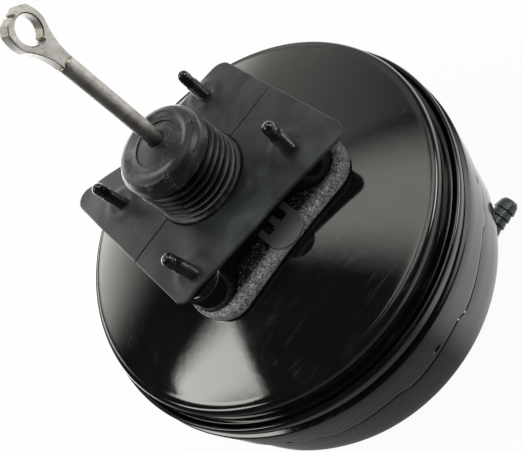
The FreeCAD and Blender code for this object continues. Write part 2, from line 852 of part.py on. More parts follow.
def valve_spring():
    low = retainer_lip_z() + retainer_wall
    high = spring_seat_z - valve_seat_gap
    return coil(plunger_r - valve_coil_inset, valve_wire, low, high, valve_turns)


def silencer():
    return tube(rear_bore_r - filter_side_gap, rod_r + filter_bore_gap,
                spring_seat_z + silencer_low, spring_seat_z + silencer_high)


def air_filter():
    return tube(rear_bore_r - filter_side_gap, rod_r + filter_bore_gap,
                spring_seat_z + silencer_high, valve_neck_top_z - filter_drop)


def reaction_disc():
    top = front_bore_z
    return Part.makeCylinder(output_head_r - 0.1, reaction_thickness,
                             V(0, 0, top - reaction_thickness))


def output_pushrod():
    head_top = front_bore_z - reaction_thickness
    collar_top = head_top - output_head_height
    outline = [(0, head_top), (output_head_r, head_top), (output_head_r, collar_top),
               (output_rod_r + output_collar, collar_top),
               (output_rod_r, collar_top - output_collar_height),
               (output_rod_r, output_tip_z), (0, output_tip_z)]
    rod = turned(outline)
    socket = Part.makeCylinder(screw_r + running_gap, screw_engagement + 2,
                               V(0, 0, output_tip_z - 1))
    return rod.cut(socket)


def output_screw():
    """Adjusting screw with a hexagon and a rounded end."""
    top = output_tip_z + screw_engagement
    end = output_tip_z - screw_length
    outline = [(0, top), (screw_r, top), (screw_r, end + screw_round),
               (screw_r - screw_round, end), (0, end)]
    flat_z = output_tip_z - screw_hexagon_gap
    corners = [polar(screw_hexagon_r, 60 * index, flat_z) for index in range(6)]
    hexagon = Part.Face(Part.makePolygon(corners + [corners[0]]))
    hexagon = hexagon.extrude(V(0, 0, -screw_hexagon_height))
    return turned(outline).fuse(hexagon).removeSplitter()


def head_retainer():
    top = front_bore_z - reaction_thickness - output_head_height
    return tube(front_bore_r, output_rod_r + output_collar + 1, top - head_retainer_height, top)


def rod_placement():
    """Place of the input pushrod: its ball centre, its tilt and its eye's azimuth."""
    tilt = math.radians(rod_tilt)
    along = polar(math.sin(tilt), rod_tilt_azimuth, math.cos(tilt))
    across = polar(1.0, eye_azimuth)
    side = along.cross(across).normalize()
    turn = FreeCAD.Rotation(side.cross(along), side, along, "ZXY")
    return FreeCAD.Placement(V(0, 0, ball_z), turn)


def eye_blank():
    """Flat forging of the eye in its own plane: neck flares, side rounds, end flat."""
    half = eye_half_width
    low = eye_distance - eye_neck_length
    end = eye_distance + eye_end
    def at(side, along):
        return V(-eye_thickness / 2, side, along)
    edges = []
    for sign in (1, -1):
        neck = at(sign * eye_neck_half, low)
        waist = at(sign * (eye_neck_half + eye_neck_swell), low + eye_neck_length * 0.48)
        cheek = at(sign * half * 0.94, eye_distance - eye_cheek_drop)
        bulge = at(sign * half, eye_distance + 1.0)
        corner = at(sign * half * 0.86, end - eye_shoulder_drop)
        tip = at(sign * half * 0.55, end)
        edges.append(Part.Arc(neck, waist, cheek).toShape())
        edges.append(Part.Arc(cheek, bulge, corner).toShape())
        edges.append(Part.LineSegment(corner, tip).toShape())
    edges.append(Part.LineSegment(at(half * 0.55, end), at(-half * 0.55, end)).toShape())
    edges.append(Part.LineSegment(at(eye_neck_half, low), at(-eye_neck_half, low)).toShape())
    outline = Part.Wire(Part.__sortEdges__(edges))
    blank = Part.Face(outline).extrude(V(eye_thickness, 0, 0))
    rim = [e for e in blank.Edges
           if e.BoundBox.XLength < 1e-6 and e.BoundBox.ZMax > low + eye_neck_lap]
    return blank.makeFillet(eye_edge_r, rim)


def eye_hole():
    """Drill of the eye, opened by a chamfer at each face."""
    far = eye_thickness / 2 + 1
    face = eye_thickness / 2
    wide = eye_hole_r + eye_hole_chamfer
    half = [(0, far), (wide + 1, far), (wide, face), (eye_hole_r, face - eye_hole_chamfer)]
    drill = turned(half + [(r, -z) for r, z in reversed(half)])
    drill.rotate(V(0, 0, 0), V(0, 1, 0), 90)
    return drill.translated(V(0, 0, eye_distance))


def input_pushrod():
    """Forged rod: ball, turned neck, round shank and a flat eye with a keyway."""
    shank_end = eye_distance - eye_neck_length + eye_neck_lap
    slope = rod_r - eye_thickness / 2
    outline = [(0, 0), (rod_neck_r, 0), (rod_neck_r, rod_neck_length),
               (rod_r, rod_neck_length + rod_cone_length), (rod_r, shank_end - slope),
               (eye_thickness / 2, shank_end), (0, shank_end)]
    rod = turned(outline).fuse(Part.makeSphere(ball_r))
    rod = rod.cut(Part.makeBox(30, 30, 10, V(-15, -15, -ball_r + ball_flat - 10)))
    rod = rod.fuse(eye_blank())
    hole = eye_hole()
    key_low = eye_distance - eye_hole_r - keyway_depth
    keyway = Part.makeBox(20, keyway_width, eye_hole_r, V(-10, -keyway_width / 2, key_low))
    notch = Part.makeBox(20, notch_width, 2 * notch_depth,
                         V(-10, -notch_width / 2, eye_distance + eye_end - notch_depth))
    rod = rod.cut(hole).cut(keyway).cut(notch).removeSplitter()
    rod.Placement = rod_placement()
    return rod


def rod_spring_seat():
    """Washer that the valve spring pushes on, held on the shank."""
    level = spring_seat_z - ball_z
    washer = tube(seat_washer_r, rod_r, level, level + seat_washer_thickness)
    washer.Placement = rod_placement()
    return washer


def grommet():
    place = polar(check_radius, check_azimuth)
    inside = front_z + shell_wall
    low = front_z - grommet_flange_height
    high = inside + grommet_lip_height
    outline = [(stem_r + running_gap, low), (grommet_flange_r, low),
               (grommet_flange_r, front_z), (grommet_hole_r, front_z), (grommet_hole_r, inside),
               (grommet_flange_r - 1, inside), (grommet_flange_r - 2, high),
               (stem_r + running_gap, high)]
    return turned(outline).translated(place)


def check_valve():
    """Elbowed valve: stem, round chamber and a ribbed hose nipple."""
    top = check_body_top_z
    low = top - check_body_length
    stem_top = front_z + stem_inside
    outline = [(0, stem_top), (stem_r - stem_chamfer, stem_top), (stem_r, stem_top - stem_chamfer),
               (stem_r, top), (check_body_r, top), (check_body_r, low),
               (elbow_r, low - check_body_taper), (elbow_r, elbow_z), (0, elbow_z)]
    body = turned(outline).fuse(Part.makeSphere(elbow_r, V(0, 0, elbow_z)))
    body = body.fuse(nipple())
    chamber = Part.makeCylinder(check_body_r - check_side_wall, check_chamber_depth,
                                V(0, 0, low + check_wall))
    way = Part.makeCylinder(nipple_bore_r, front_z + 20 - elbow_z, V(0, 0, elbow_z))
    run = Part.makeCylinder(nipple_bore_r, nipple_length + 5, V(0, 0, elbow_z), V(0, 1, 0))
    body = body.cut(chamber).cut(way).cut(run)
    return body.translated(polar(check_radius, check_azimuth)).removeSplitter()


def nipple():
    """Hose nipple along +Y with ridges that slope towards its end."""
    pitch = (nipple_length - nipple_straight - nipple_tip_length) / nipple_ridges
    outline = [(0, 0), (nipple_root_r, 0), (nipple_root_r, nipple_straight)]
    for index in range(nipple_ridges):
        level = nipple_straight + pitch * index
        outline += [(nipple_ridge_r, level), (nipple_root_r + nipple_ridge_foot, level + pitch)]
    outline += [(nipple_root_r - nipple_tip_inset, nipple_length), (0, nipple_length)]
    solid = turned(outline)
    solid.rotate(V(0, 0, 0), V(1, 0, 0), -90)
    return solid.translated(V(0, 0, elbow_z))


def check_disc():
    top = check_chamber_top()
    disc_r = check_body_r - check_side_wall - check_disc_gap
    disc = Part.makeCylinder(disc_r, check_disc_thickness,
                             V(0, 0, top - check_disc_thickness - 0.1))
    return disc.translated(polar(check_radius, check_azimuth))


def check_chamber_top():
    return check_body_top_z - check_wall


def check_spring():
    low = check_chamber_top() - check_chamber_depth + 0.1
    place = polar(check_radius, check_azimuth)
    high = check_chamber_top() - check_disc_thickness - 0.2
    return coil(check_coil_r, check_wire, low, high, check_turns, place.x, place.y)


PIECES = {
    "rear_shell": rear_shell,
    "front_shell": front_shell,
    "rear_reinforcement": rear_reinforcement,
    "rear_studs": rear_studs,
    "rubber_flange": flange,
    "rubber_boot": boot,
    "foam_gasket": foam_gasket,
    "gasket_tab": gasket_tab,
    "rear_seal": rear_seal,
    "rear_bearing": rear_bearing,
    "bearing_retainer": bearing_retainer,
    "front_reinforcement": front_reinforcement,
    "front_studs": front_studs,
    "front_seal": front_seal,
    "return_spring": return_spring,
    "divider": divider,
    "divider_seal": divider_seal,
    "rear_diaphragm": rear_diaphragm,
    "rear_diaphragm_plate": rear_diaphragm_plate,
    "front_diaphragm": front_diaphragm,
    "front_diaphragm_plate": front_diaphragm_plate,
    "valve_body": valve_body,
    "valve_key": valve_key,
    "control_plunger": control_plunger,
    "poppet": poppet,
    "poppet_bellows": poppet_bellows,
    "poppet_retainer": poppet_retainer,
    "poppet_spring": poppet_spring,
    "valve_spring": valve_spring,
    "silencer": silencer,
    "air_filter": air_filter,
    "reaction_disc": reaction_disc,
    "output_pushrod": output_pushrod,
    "output_screw": output_screw,
    "head_retainer": head_retainer,
    "input_pushrod": input_pushrod,
    "rod_spring_seat": rod_spring_seat,
    "grommet": grommet,
    "check_valve": check_valve,
    "check_disc": check_disc,
    "check_spring": check_spring,
}


def main():
    os.makedirs("parts", exist_ok=True)
    for name, make in PIECES.items():
        made = make()
        if isinstance(made, list):
            made = Part.makeCompound(made)
        solids = len(made.Solids)
        print(name, "valid" if made.isValid() else "NOT VALID", "solids", solids)
        made.exportStep("parts/" + name + ".step")


main()
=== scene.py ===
"""Looks of a vacuum brake booster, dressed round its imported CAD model.

The frame is the model's own: +Z is the booster's axis, out of the mounting face and
towards the pedal. Shapes are worked out in millimetres and stored in metres.
"""
import json
import math

import bpy
import numpy as np
from mathutils import Matrix, Vector


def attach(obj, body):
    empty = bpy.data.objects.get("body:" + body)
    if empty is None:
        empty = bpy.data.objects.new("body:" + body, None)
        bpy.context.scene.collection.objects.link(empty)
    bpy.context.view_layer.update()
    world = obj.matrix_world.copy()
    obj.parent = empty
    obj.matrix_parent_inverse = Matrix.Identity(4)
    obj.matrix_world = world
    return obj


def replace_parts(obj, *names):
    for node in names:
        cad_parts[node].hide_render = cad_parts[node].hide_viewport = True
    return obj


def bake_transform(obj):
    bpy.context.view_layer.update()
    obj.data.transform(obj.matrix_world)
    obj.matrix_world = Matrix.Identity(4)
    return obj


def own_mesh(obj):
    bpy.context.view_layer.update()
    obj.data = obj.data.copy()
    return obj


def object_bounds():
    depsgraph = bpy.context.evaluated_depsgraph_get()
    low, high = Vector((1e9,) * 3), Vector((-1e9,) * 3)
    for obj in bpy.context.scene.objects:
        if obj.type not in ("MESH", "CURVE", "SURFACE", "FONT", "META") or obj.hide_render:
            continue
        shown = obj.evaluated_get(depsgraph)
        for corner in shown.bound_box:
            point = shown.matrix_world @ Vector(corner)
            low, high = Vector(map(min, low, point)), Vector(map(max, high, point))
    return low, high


MM = 0.001

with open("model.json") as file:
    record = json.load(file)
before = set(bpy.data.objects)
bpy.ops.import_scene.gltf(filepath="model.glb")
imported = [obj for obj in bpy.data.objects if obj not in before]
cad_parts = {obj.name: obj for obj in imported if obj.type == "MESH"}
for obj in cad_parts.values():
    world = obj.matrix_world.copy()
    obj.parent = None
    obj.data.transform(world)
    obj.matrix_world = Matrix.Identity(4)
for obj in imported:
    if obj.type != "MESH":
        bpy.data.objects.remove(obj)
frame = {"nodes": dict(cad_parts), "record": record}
cad_low, cad_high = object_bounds()

# Camera, fitted to the rings of the shell and the stud bases in the photograph
image_width = 522
image_height = 452
focal_pixels = 626.2
centre_pixel = (262.4, 223.9)
camera_place = (257.1, 5.0, 231.5)
camera_forward = (-0.65411, -0.01179, -0.75631)
camera_up = (-0.46496, 0.79494, 0.38973)
sensor_width = 36.0

# Rear shell: tower, dome and stepped rim
stud_spacing = 80.0
lobe_r = 14.0
tower_half = 43.0
tower_top_z = -2.5
tower_edge_r = 2.0
tower_foot_r = 3.0
hub_r = 25.0
hub_round = 1.0
hub_low_z = -22.5
dome_sphere_r = 376.0
dome_top_z = -23.2
shoulder_r = 120.0
shoulder_round = 3.6
shoulder_flat_r = 114.3
ring_drop = 0.15
shoulder_z = -51.0
neck_r = 117.5
neck_z = -55.7
rim_r = 122.4
rim_high_z = -55.2
rim_low_z = -58.5
rim_bends = [1.2, 0.6, 0.6]
shell_wall = 1.8

# Front shell: mouth band, bead groove, skirt, barrel, pad and spigot, with the radius of
# each bend in turn
mouth_r = 124.5
mouth_z = -54.5
band_r = 126.5
band_high_z = -57.5
band_low_z = -63.5
groove_r = 124.7
groove_high_z = -64.5
groove_low_z = -66.8
skirt_r = 128.2
skirt_high_z = -67.3
skirt_low_z = -96.0
edge_gap_depth = 1.3
edge_gap_width = 4.2
barrel_r = 127.0
front_z = -142.0
front_round = 10.0
pad_r = 60.0
pad_slope = 6.0
pad_z = -150.0
spigot_r = 20.0
spigot_depth = 12.0
lip_r = 12.0
front_bends = [1.2, 0.9, 0.3, 0.2, 0.9, 0.3, 0.2, 0.3, 0.4, front_round, 3, 4, 3, 0.6]

# Scallops of the skirt's edge: the share of each that rises, and how far from the edge
# the swing is held and dies out
scallop_count = 16
scallop_depth = 4.0
scallop_rise = 0.84
scallop_phase = 14.0
scallop_reach = 9.0
scallop_hold = 1.6

# Lances: slanted dents in the skirt, with close rows and azimuths about each
lance_count = 8
lance_phase = 2.0
lance_z = -89.5
lance_half_width = 2.3
lance_half_height = 1.7
lance_slant = 0.35
lance_depth = 6.0
lance_edge = 1.25
lance_wall = 2.5
lance_rows = 2.6
lance_span = 1.1

# Rubber flange plate: its corners in turn, with the radius of each
flange_thickness = 2.5
flange_hole_r = 28.3
flange_corners = [(61.5, 64.5), (-50.5, 64.5), (-55.0, 14.0), (-63.0, -20.0),
                  (-88.0, -61.6), (47.5, -57.0)]
flange_radii = [8.0, 8.0, 20.0, 20.0, 8.0, 8.0]
flat_run = 8.0
droop_start = 50.0
droop_run = 20.0
droop_most = 2.6
swell_r = 8.5
swell_width = 3.4
swell_height = 0.9
seam_half_width = 0.5
seam_depth = 0.7

# Bellows boot, its cap, and the cuff in the cap's middle, which is pulled to the rod
boot_ring_r = 28.0
boot_valley_r = 23.4
boot_ridge_r = 27.0
boot_ridge_count = 5
boot_fold_low = 3.0
boot_fold_high = 25.0
boot_taper = 0.15
fold_power = 0.9
boot_wall = 1.4
boot_mean_r = 26.0
# Where the painted highlight on the ridge crests starts and fades in, then where the painted
# shade in the folds starts and fades in
ridge_glint_from = 0.88
ridge_glint_run = 0.08
shaded_from = 0.85
shaded_run = 0.25
cap_corners = [(25.0, 25.6), (26.0, 27.5), (25.7, 33.5), (23.2, 36.6), (19.8, 37.6),
               (16.6, 35.95)]
cap_radii = [1.0, 4.0, 2.5, 3.0, 3.0, 0.1]
cap_inside = [(17.0, 35.5), (21.0, 33.5), (22.6, 31.0)]
cuff_lip_r = 13.4
cuff_lip_z = 36.0
cuff_rim_r = 15.8
cuff_low_z = 35.2
cuff_high_z = 36.8
cuff_clearance = 0.3
cuff_thickness = 0.4
pull_reach = 17.0
pull_power = 1.2
pull_low_z = 30.0
# Paler haze on one side of the cap: the height it starts at, its rise, and the azimuth it faces
haze_low_z = 29.0
haze_run = 4.0
haze_azimuth = math.radians(230.0)

# Pushrod: the centre of its ball, its shank and its lean
ball_z = -39.0
rod_r = 4.5
rod_tilt = math.radians(2.9)
rod_azimuth = math.radians(132.5)

# Studs
rear_stud = {"low": -2.0, "high": 23.0, "outer_r": 4.0, "point_r": 3.6,
             "point_length": 8.5, "pitch": 1.25}
front_stud = {"low": 149.0, "high": 174.0, "outer_r": 5.0, "point_r": 4.2,
              "point_length": 2.5, "pitch": 1.5}
front_stud_x = 41.0
thread_depth = 0.8
thread_rows = 8
thread_mean = 0.6
# Part of the thread depth, from the crest, that gets a painted highlight
crest_share = 0.4
neck_depth = 0.35
neck_share = 0.45

# Light cards, floor and world, in metres and degrees
cards = [
    {"name": "card_right", "azimuth": 98, "elevation": 66, "distance": 1.3, "width": 1.2,
     "length": 0.62, "turn": 8, "strength": 2.2},
    {"name": "card_left", "azimuth": -114, "elevation": 47, "distance": 1.35, "width": 0.95,
     "length": 0.66, "turn": -12, "strength": 4.5},
]
card_aim = (0, 0, -0.03)
floor_half = 6.0
floor_gap = 0.0005
floor_white = 0.95
world_light = 0.4

# Tent whose panels are mirrored by the dome. Widths and heights are tangents.
tent_radius = 5.0
tent_dark = 0.01
tent_ground = 0.2
tent_tint = (1.03, 1.02, 0.95)
tent_least = 0.05
tent_panels = [
    {"azimuth": 243.7, "elevation": 48.2, "roll": -2.5, "half_width": 0.13,
     "half_height": 0.193, "soft_width": 0.079, "soft_height": 0.026, "taper": -0.43,
     "strength": 10.0},
    {"azimuth": 65.9, "elevation": 40.0, "roll": 59.9, "shift": 0.98, "half_width": 0.62,
     "half_height": 0.294, "soft_width": 0.131, "soft_height": 0.207, "taper": -0.12,
     "strength": 3.24},
    {"azimuth": 64.0, "elevation": 32.0, "roll": 0.0, "half_width": 0.22,
     "half_height": 0.14, "soft_width": 0.1, "soft_height": 0.05, "taper": 0.0,
     "strength": 12.0},
    {"azimuth": 172.0, "elevation": -6.8, "roll": 114.0, "half_width": 2.2,
     "half_height": 0.536, "soft_width": 0.268, "soft_height": 1.05, "taper": -0.18,
     "strength": 1.1},
    {"azimuth": 195.7, "elevation": -15.4, "roll": 16.7, "half_width": 0.686,
     "half_height": 0.0, "soft_width": 0.22, "soft_height": 1.23, "taper": 0.0,
     "strength": 10.7},
    {"azimuth": 198.0, "elevation": 38.0, "roll": 26.0, "half_width": 0.15,
     "half_height": 0.05, "soft_width": 0.06, "soft_height": 0.04, "taper": 0.0,
     "strength": 9.0},
    {"azimuth": 174.0, "elevation": 36.0, "roll": -10.0, "half_width": 0.26,
     "half_height": 0.05, "soft_width": 0.08, "soft_height": 0.04, "taper": 0.0,
     "strength": 1.2},
    {"azimuth": 90.0, "elevation": -35.0, "roll": 0.0, "half_width": 3.0,
     "half_height": 1.05, "soft_width": 0.6, "soft_height": 0.32, "taper": 0.0,
     "strength": 0.72},
    {"azimuth": 85.0, "elevation": -18.0, "roll": 0.0, "half_width": 0.7,
     "half_height": 0.2, "soft_width": 0.65, "soft_height": 0.2, "taper": 0.0,
     "strength": 2.2},
]

# Foam gasket
foam_half_x = 60.0
foam_high_y = 61.0
foam_low_y = -56.5
foam_corner_r = 20.0
foam_top_z = -20.0
# Width of the band of painted light along the foam's outer edge
foam_lit_band = 8.5
foam_edge_r = 2.6
foam_clearance = 0.35
foam_least = 0.6
foam_lift = 0.2


def rounded_path(corners, radii, steps=6):
    """Rows of (radius, height) along straight runs. Each inner corner is an arc that
    starts r * tan(turn / 2) before the corner and is tangent to both runs."""
    rows = [np.array(corners[0], float)]
    for before, corner, after, radius in zip(corners, corners[1:], corners[2:], radii):
        a = np.subtract(corner, before) / np.hypot(*np.subtract(corner, before))
        b = np.subtract(after, corner) / np.hypot(*np.subtract(after, corner))
        turn = math.atan2(a[0] * b[1] - a[1] * b[0], a @ b)
        start = np.array(corner) - a * radius * math.tan(abs(turn) / 2)
        side = math.copysign(1.0, turn)
        normal = np.array([-a[1], a[0]]) * side
        angles = np.linspace(0, abs(turn), steps)
        rows += [start + a * radius * math.sin(t) + normal * radius * (1 - math.cos(t))
                 for t in angles]
    rows.append(np.array(corners[-1], float))
    return np.array(rows)


def spaced(rows, longest):
    """The same path with runs longer than a given length divided evenly."""
    lengths = np.hypot(*np.diff(rows, axis=0).T)
    parts = [np.linspace(a, b, max(1, math.ceil(size / longest)), endpoint=False)
             for a, b, size in zip(rows, rows[1:], lengths) if size > 1e-9]
    return np.vstack(parts + [rows[-1:]])


def round_points(radius, height, azimuths):
    """Points (r cos t, r sin t, z) at each azimuth t."""
    return np.stack([radius * np.cos(azimuths), radius * np.sin(azimuths),
                     height + 0 * azimuths], -1)


def turned(rows, azimuths):
    """Surface of revolution of rows of (radius, height)."""
    return round_points(rows[:, :1], rows[:, 1:], azimuths)


def inner_wall(grid, wall):
    """A grid moved inwards by a wall, along normals from its own differences."""
    along = np.gradient(grid, axis=0)
    around = np.roll(grid, -1, axis=1) - np.roll(grid, 1, axis=1)
    normal = np.cross(around, along)
    normal /= np.linalg.norm(normal, axis=2, keepdims=True) + 1e-12
    return grid + normal * wall


def smooth(share):
    """Soft step: a share from 0 to 1 that starts and ends level."""
    return share * share * (3 - 2 * share)


def placed(name, data):
    """New object of a mesh or a camera, linked to the scene."""
    made = bpy.data.objects.new(name, data)
    bpy.context.scene.collection.objects.link(made)
    return made


def skin(name, grid, material, body, slot, *nodes, ring=False, caps=()):
    """Mesh of a grid of points in millimetres. Columns close on themselves, rows do too
    for a ring, and caps close the first or last row with a fan round its middle. A piece
    that bends between two bodies is given none."""
    rows, columns = grid.shape[:2]
    index = np.arange(rows * columns).reshape(rows, columns)
    low = index if ring else index[:-1]
    high = np.roll(index, -1, axis=0) if ring else index[1:]
    faces = np.stack([low, np.roll(low, -1, 1), np.roll(high, -1, 1), high], -1).reshape(-1, 4)
    points = grid.reshape(-1, 3)
    first, second, third, fourth = (points[faces[:, corner]] for corner in range(4))
    volume = np.sum(first * (np.cross(second, third) + np.cross(third, fourth)))
    lists = faces.tolist()
    for row in caps:
        middle = grid[row].mean(axis=0)
        points = np.vstack([points, middle])
        edge = index[row]
        fan = np.stack([np.roll(edge, -1), edge, np.full(columns, len(points) - 1)], -1)
        lists += (fan if row == 0 else fan[:, ::-1]).tolist()
    if volume < 0:
        lists = [face[::-1] for face in lists]
    mesh = bpy.data.meshes.new(name)
    mesh.from_pydata((points * MM).tolist(), [], lists)
    mesh.shade_smooth()
    mesh.materials.append(material)
    piece = placed(name, mesh)
    if body:
        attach(piece, body)
    if nodes:
        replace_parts(piece, *nodes)
    return piece


def store(piece, key, values):
    """Keeps a number at each point of a grid's piece, and zero at the middles of caps."""
    full = np.zeros(len(piece.data.vertices), np.float32)
    full[:values.size] = values.ravel()
    piece.data.attributes.new(key, "FLOAT", "POINT").data.foreach_set("value", full)


def tower_radius(azimuth, margin=0.0):
    """Distance from the axis to the tower's outline: the farther of a square's side and
    the far side of a round lobe at each stud, both moved out by a margin."""
    c, s = np.abs(np.cos(azimuth)), np.abs(np.sin(azimuth))
    square = (tower_half + margin) / np.maximum(c, s)
    along = (c + s) * stud_spacing / 2
    across = 2 * (stud_spacing / 2) ** 2 - along ** 2
    lobe = along + np.sqrt(np.maximum((lobe_r + margin) ** 2 - across, 0))
    return np.where((lobe_r + margin) ** 2 > across, np.maximum(square, lobe), square)


def dome_height(radius):
    """Height of the dome's sphere at a distance from the axis."""
    return dome_top_z - dome_sphere_r + np.sqrt(dome_sphere_r ** 2 - radius ** 2)


def ray_radius(outline, azimuths):
    """Distance to a closed star-shaped outline of (x, y) points along each azimuth."""
    angle = np.unwrap(np.arctan2(outline[:, 1], outline[:, 0]))
    size = np.hypot(outline[:, 0], outline[:, 1])
    order = np.argsort(angle)
    return np.interp(azimuths, angle[order], size[order], period=2 * np.pi)


def rounded_outline(corners, radii, steps=12):
    """Closed outline of (x, y) points: straight sides joined by arcs at every corner."""
    around = [corners[-1]] + list(corners) + [corners[0]]
    rows = rounded_path(around, radii, steps)[1:-1]
    return spaced(np.vstack([rows, rows[:1]]), 1.0)[:-1]


def rear_pressing(material):
    """Rear shell as one grid: each azimuth carries the same profile, from the hub over
    the tower's top and edge, down its wall, through the foot's fillet and out over the
    dome, a flat ring, shoulder and neck to the rim. Only the tower's radius changes with
    azimuth."""
    azimuths = np.linspace(0, 2 * np.pi, 720, endpoint=False)
    tower = tower_radius(azimuths)[None, :]

    def rows(radius, height):
        """Radius and height of a run, filled out to every azimuth."""
        return np.broadcast_arrays(radius + 0 * tower, height + 0 * tower)

    def steps(count):
        """Even shares of a run, from 0 to 1, as a column."""
        return np.linspace(0, 1, count)[:, None]

    edge_start_z = tower_top_z - hub_round
    hub = rows(hub_r + 0 * steps(4), hub_low_z + (edge_start_z - hub_low_z) * steps(4))
    turn = steps(4) * math.pi / 2
    hub_edge = rows(hub_r + hub_round - hub_round * np.cos(turn),
                    edge_start_z + hub_round * np.sin(turn))
    top_start = hub_r + hub_round
    top_end = tower - tower_edge_r
    top = rows(top_start + (top_end - top_start) * steps(6)[1:-1], tower_top_z)
    turn = steps(7) * math.pi / 2
    edge = rows(top_end + tower_edge_r * np.sin(turn),
                tower_top_z - tower_edge_r * (1 - np.cos(turn)))
    slope = np.arcsin((tower + tower_foot_r) / dome_sphere_r)
    foot_r = tower + tower_foot_r * (1 - np.sin(slope))
    foot_z = dome_height(foot_r) + tower_foot_r * np.cos(slope)
    turn = steps(8) * (math.pi / 2 - slope)
    foot = rows(tower + tower_foot_r * (1 - np.cos(turn)), foot_z - tower_foot_r * np.sin(turn))
    down = steps(5)[1:-1]
    wall = rows(tower, (tower_top_z - tower_edge_r) * (1 - down) + foot_z * down)
    dome_r = foot_r + (shoulder_flat_r - foot_r) * steps(34)[1:-1]
    dome = rows(dome_r, dome_height(dome_r))
    centre_r = shoulder_r - shoulder_round
    ring_z = dome_height(shoulder_flat_r) - ring_drop
    centre_z = ring_z - shoulder_round
    out = steps(6)[:-1]
    flat = rows(shoulder_flat_r + (centre_r - shoulder_flat_r) * out,
                ring_z + ring_drop * (1 - out) ** 3)
    turn = math.pi / 2 * (1 - steps(16))
    shoulder = rows(centre_r + shoulder_round * np.cos(turn),
                    centre_z + shoulder_round * np.sin(turn))
    tail = rounded_path([(shoulder_r, centre_z - 0.5), (shoulder_r, shoulder_z),
                         (neck_r, neck_z), (rim_r, rim_high_z), (rim_r, rim_low_z)],
                        rim_bends, 5)
    rim = rows(tail[:, :1], tail[:, 1:])
    parts = [hub, hub_edge, top, edge, wall, foot, dome, flat, shoulder, rim]
    radius = np.vstack([part[0] for part in parts])
    height = np.vstack([part[1] for part in parts])
    outer = round_points(radius, height, azimuths)
    inner = inner_wall(outer, shell_wall)[::-3]
    skin("rear_pressing", np.vstack([outer, inner]), material, "housing",
         "black_gloss_paint", "rear_shell", ring=True)


def front_azimuths():
    """Even azimuths with close ones added at each lance."""
    even = np.linspace(0, 2 * np.pi, 480, endpoint=False)
    near = math.radians(lance_phase) + 2 * np.pi * np.arange(lance_count) / lance_count
    close = near[:, None] + np.linspace(-lance_span, lance_span, 15) * math.radians(1.0)
    return np.unique(np.round(np.mod(np.concatenate([even, close.ravel()]), 2 * np.pi), 6))


def front_path():
    """Profile of the front shell, with close rows across the lances."""
    gap_r = barrel_r - edge_gap_depth
    gap_end_z = skirt_low_z - edge_gap_width
    corners = [(mouth_r, mouth_z), (band_r, band_high_z), (band_r, band_low_z),
               (groove_r, groove_high_z), (groove_r, groove_low_z), (skirt_r, skirt_high_z),
               (skirt_r, skirt_low_z), (gap_r, skirt_low_z - 0.4), (gap_r, gap_end_z),
               (barrel_r, gap_end_z - 0.7), (barrel_r, front_z),
               (pad_r + pad_slope, front_z), (pad_r, pad_z),
               (spigot_r, pad_z), (spigot_r, pad_z + spigot_depth),
               (lip_r, pad_z + spigot_depth)]
    path = spaced(rounded_path(corners, front_bends, 5), 12.0)
    levels = np.linspace(lance_z + lance_rows, lance_z - lance_rows, 17)
    close = np.stack([np.full_like(levels, skirt_r), levels], -1)
    outside = np.abs(path[:, 1] - lance_z) > lance_rows
    cut = np.argmax((path[:, 1] < lance_z) & (np.abs(path[:, 0] - skirt_r) < 0.1))
    return np.vstack([path[:cut][outside[:cut]], close, path[cut:][outside[cut:]]])


def front_pressing(material):
    """Front shell turned about the axis. The edge of the skirt swings along the axis as
    a leaning wave, scallop_count times round, and each lance is a small slanted dent."""
    azimuths = front_azimuths()
    path = front_path()
    outer = turned(path, azimuths)
    phase = np.mod((np.degrees(azimuths) - scallop_phase) * scallop_count / 360.0, 1.0)
    wave = smooth(np.where(phase < scallop_rise, phase / scallop_rise,
                           (1 - phase) / (1 - scallop_rise)))
    gap_middle_z = skirt_low_z - edge_gap_width / 2
    swing = np.clip(1 - np.abs(path[:, 1] - gap_middle_z) / scallop_reach, 0, 1)
    swing = np.where(path[:, 0] > groove_r + 1, np.minimum(swing * scallop_hold, 1), 0)
    outer[:, :, 2] += scallop_depth * wave[None, :] * swing[:, None]
    spacing = 2 * np.pi / lance_count
    offset = np.mod(azimuths - math.radians(lance_phase) + spacing / 2, spacing) - spacing / 2
    across = offset[None, :] * skirt_r / lance_half_width
    up = (path[:, 1:] - lance_z - lance_slant * across) / lance_half_height
    on_skirt = np.abs(path[:, :1] - skirt_r) < 0.2
    dent = np.clip(lance_edge - across ** 2 - up ** 2, 0, 1) * on_skirt
    scale = 1 - lance_depth * np.minimum(dent * lance_wall, 1) / skirt_r
    outer[:, :, :2] *= scale[:, :, None]
    inner = inner_wall(turned(path, azimuths), shell_wall)[::-3]
    skin("front_pressing", np.vstack([outer, inner]), material, "housing",
         "black_gloss_paint", "front_shell", ring=True)


def flange_azimuths():
    """Even azimuths with close ones on both sides of the seam, which lies along Y."""
    even = np.linspace(0, 2 * np.pi, 432, endpoint=False)
    close = np.radians([0.3, 0.55, 0.9])
    seam = [side * math.pi / 2 + turn for side in (1, 3) for turn in np.r_[-close, close]]
    return np.unique(np.round(np.r_[even, seam], 6))


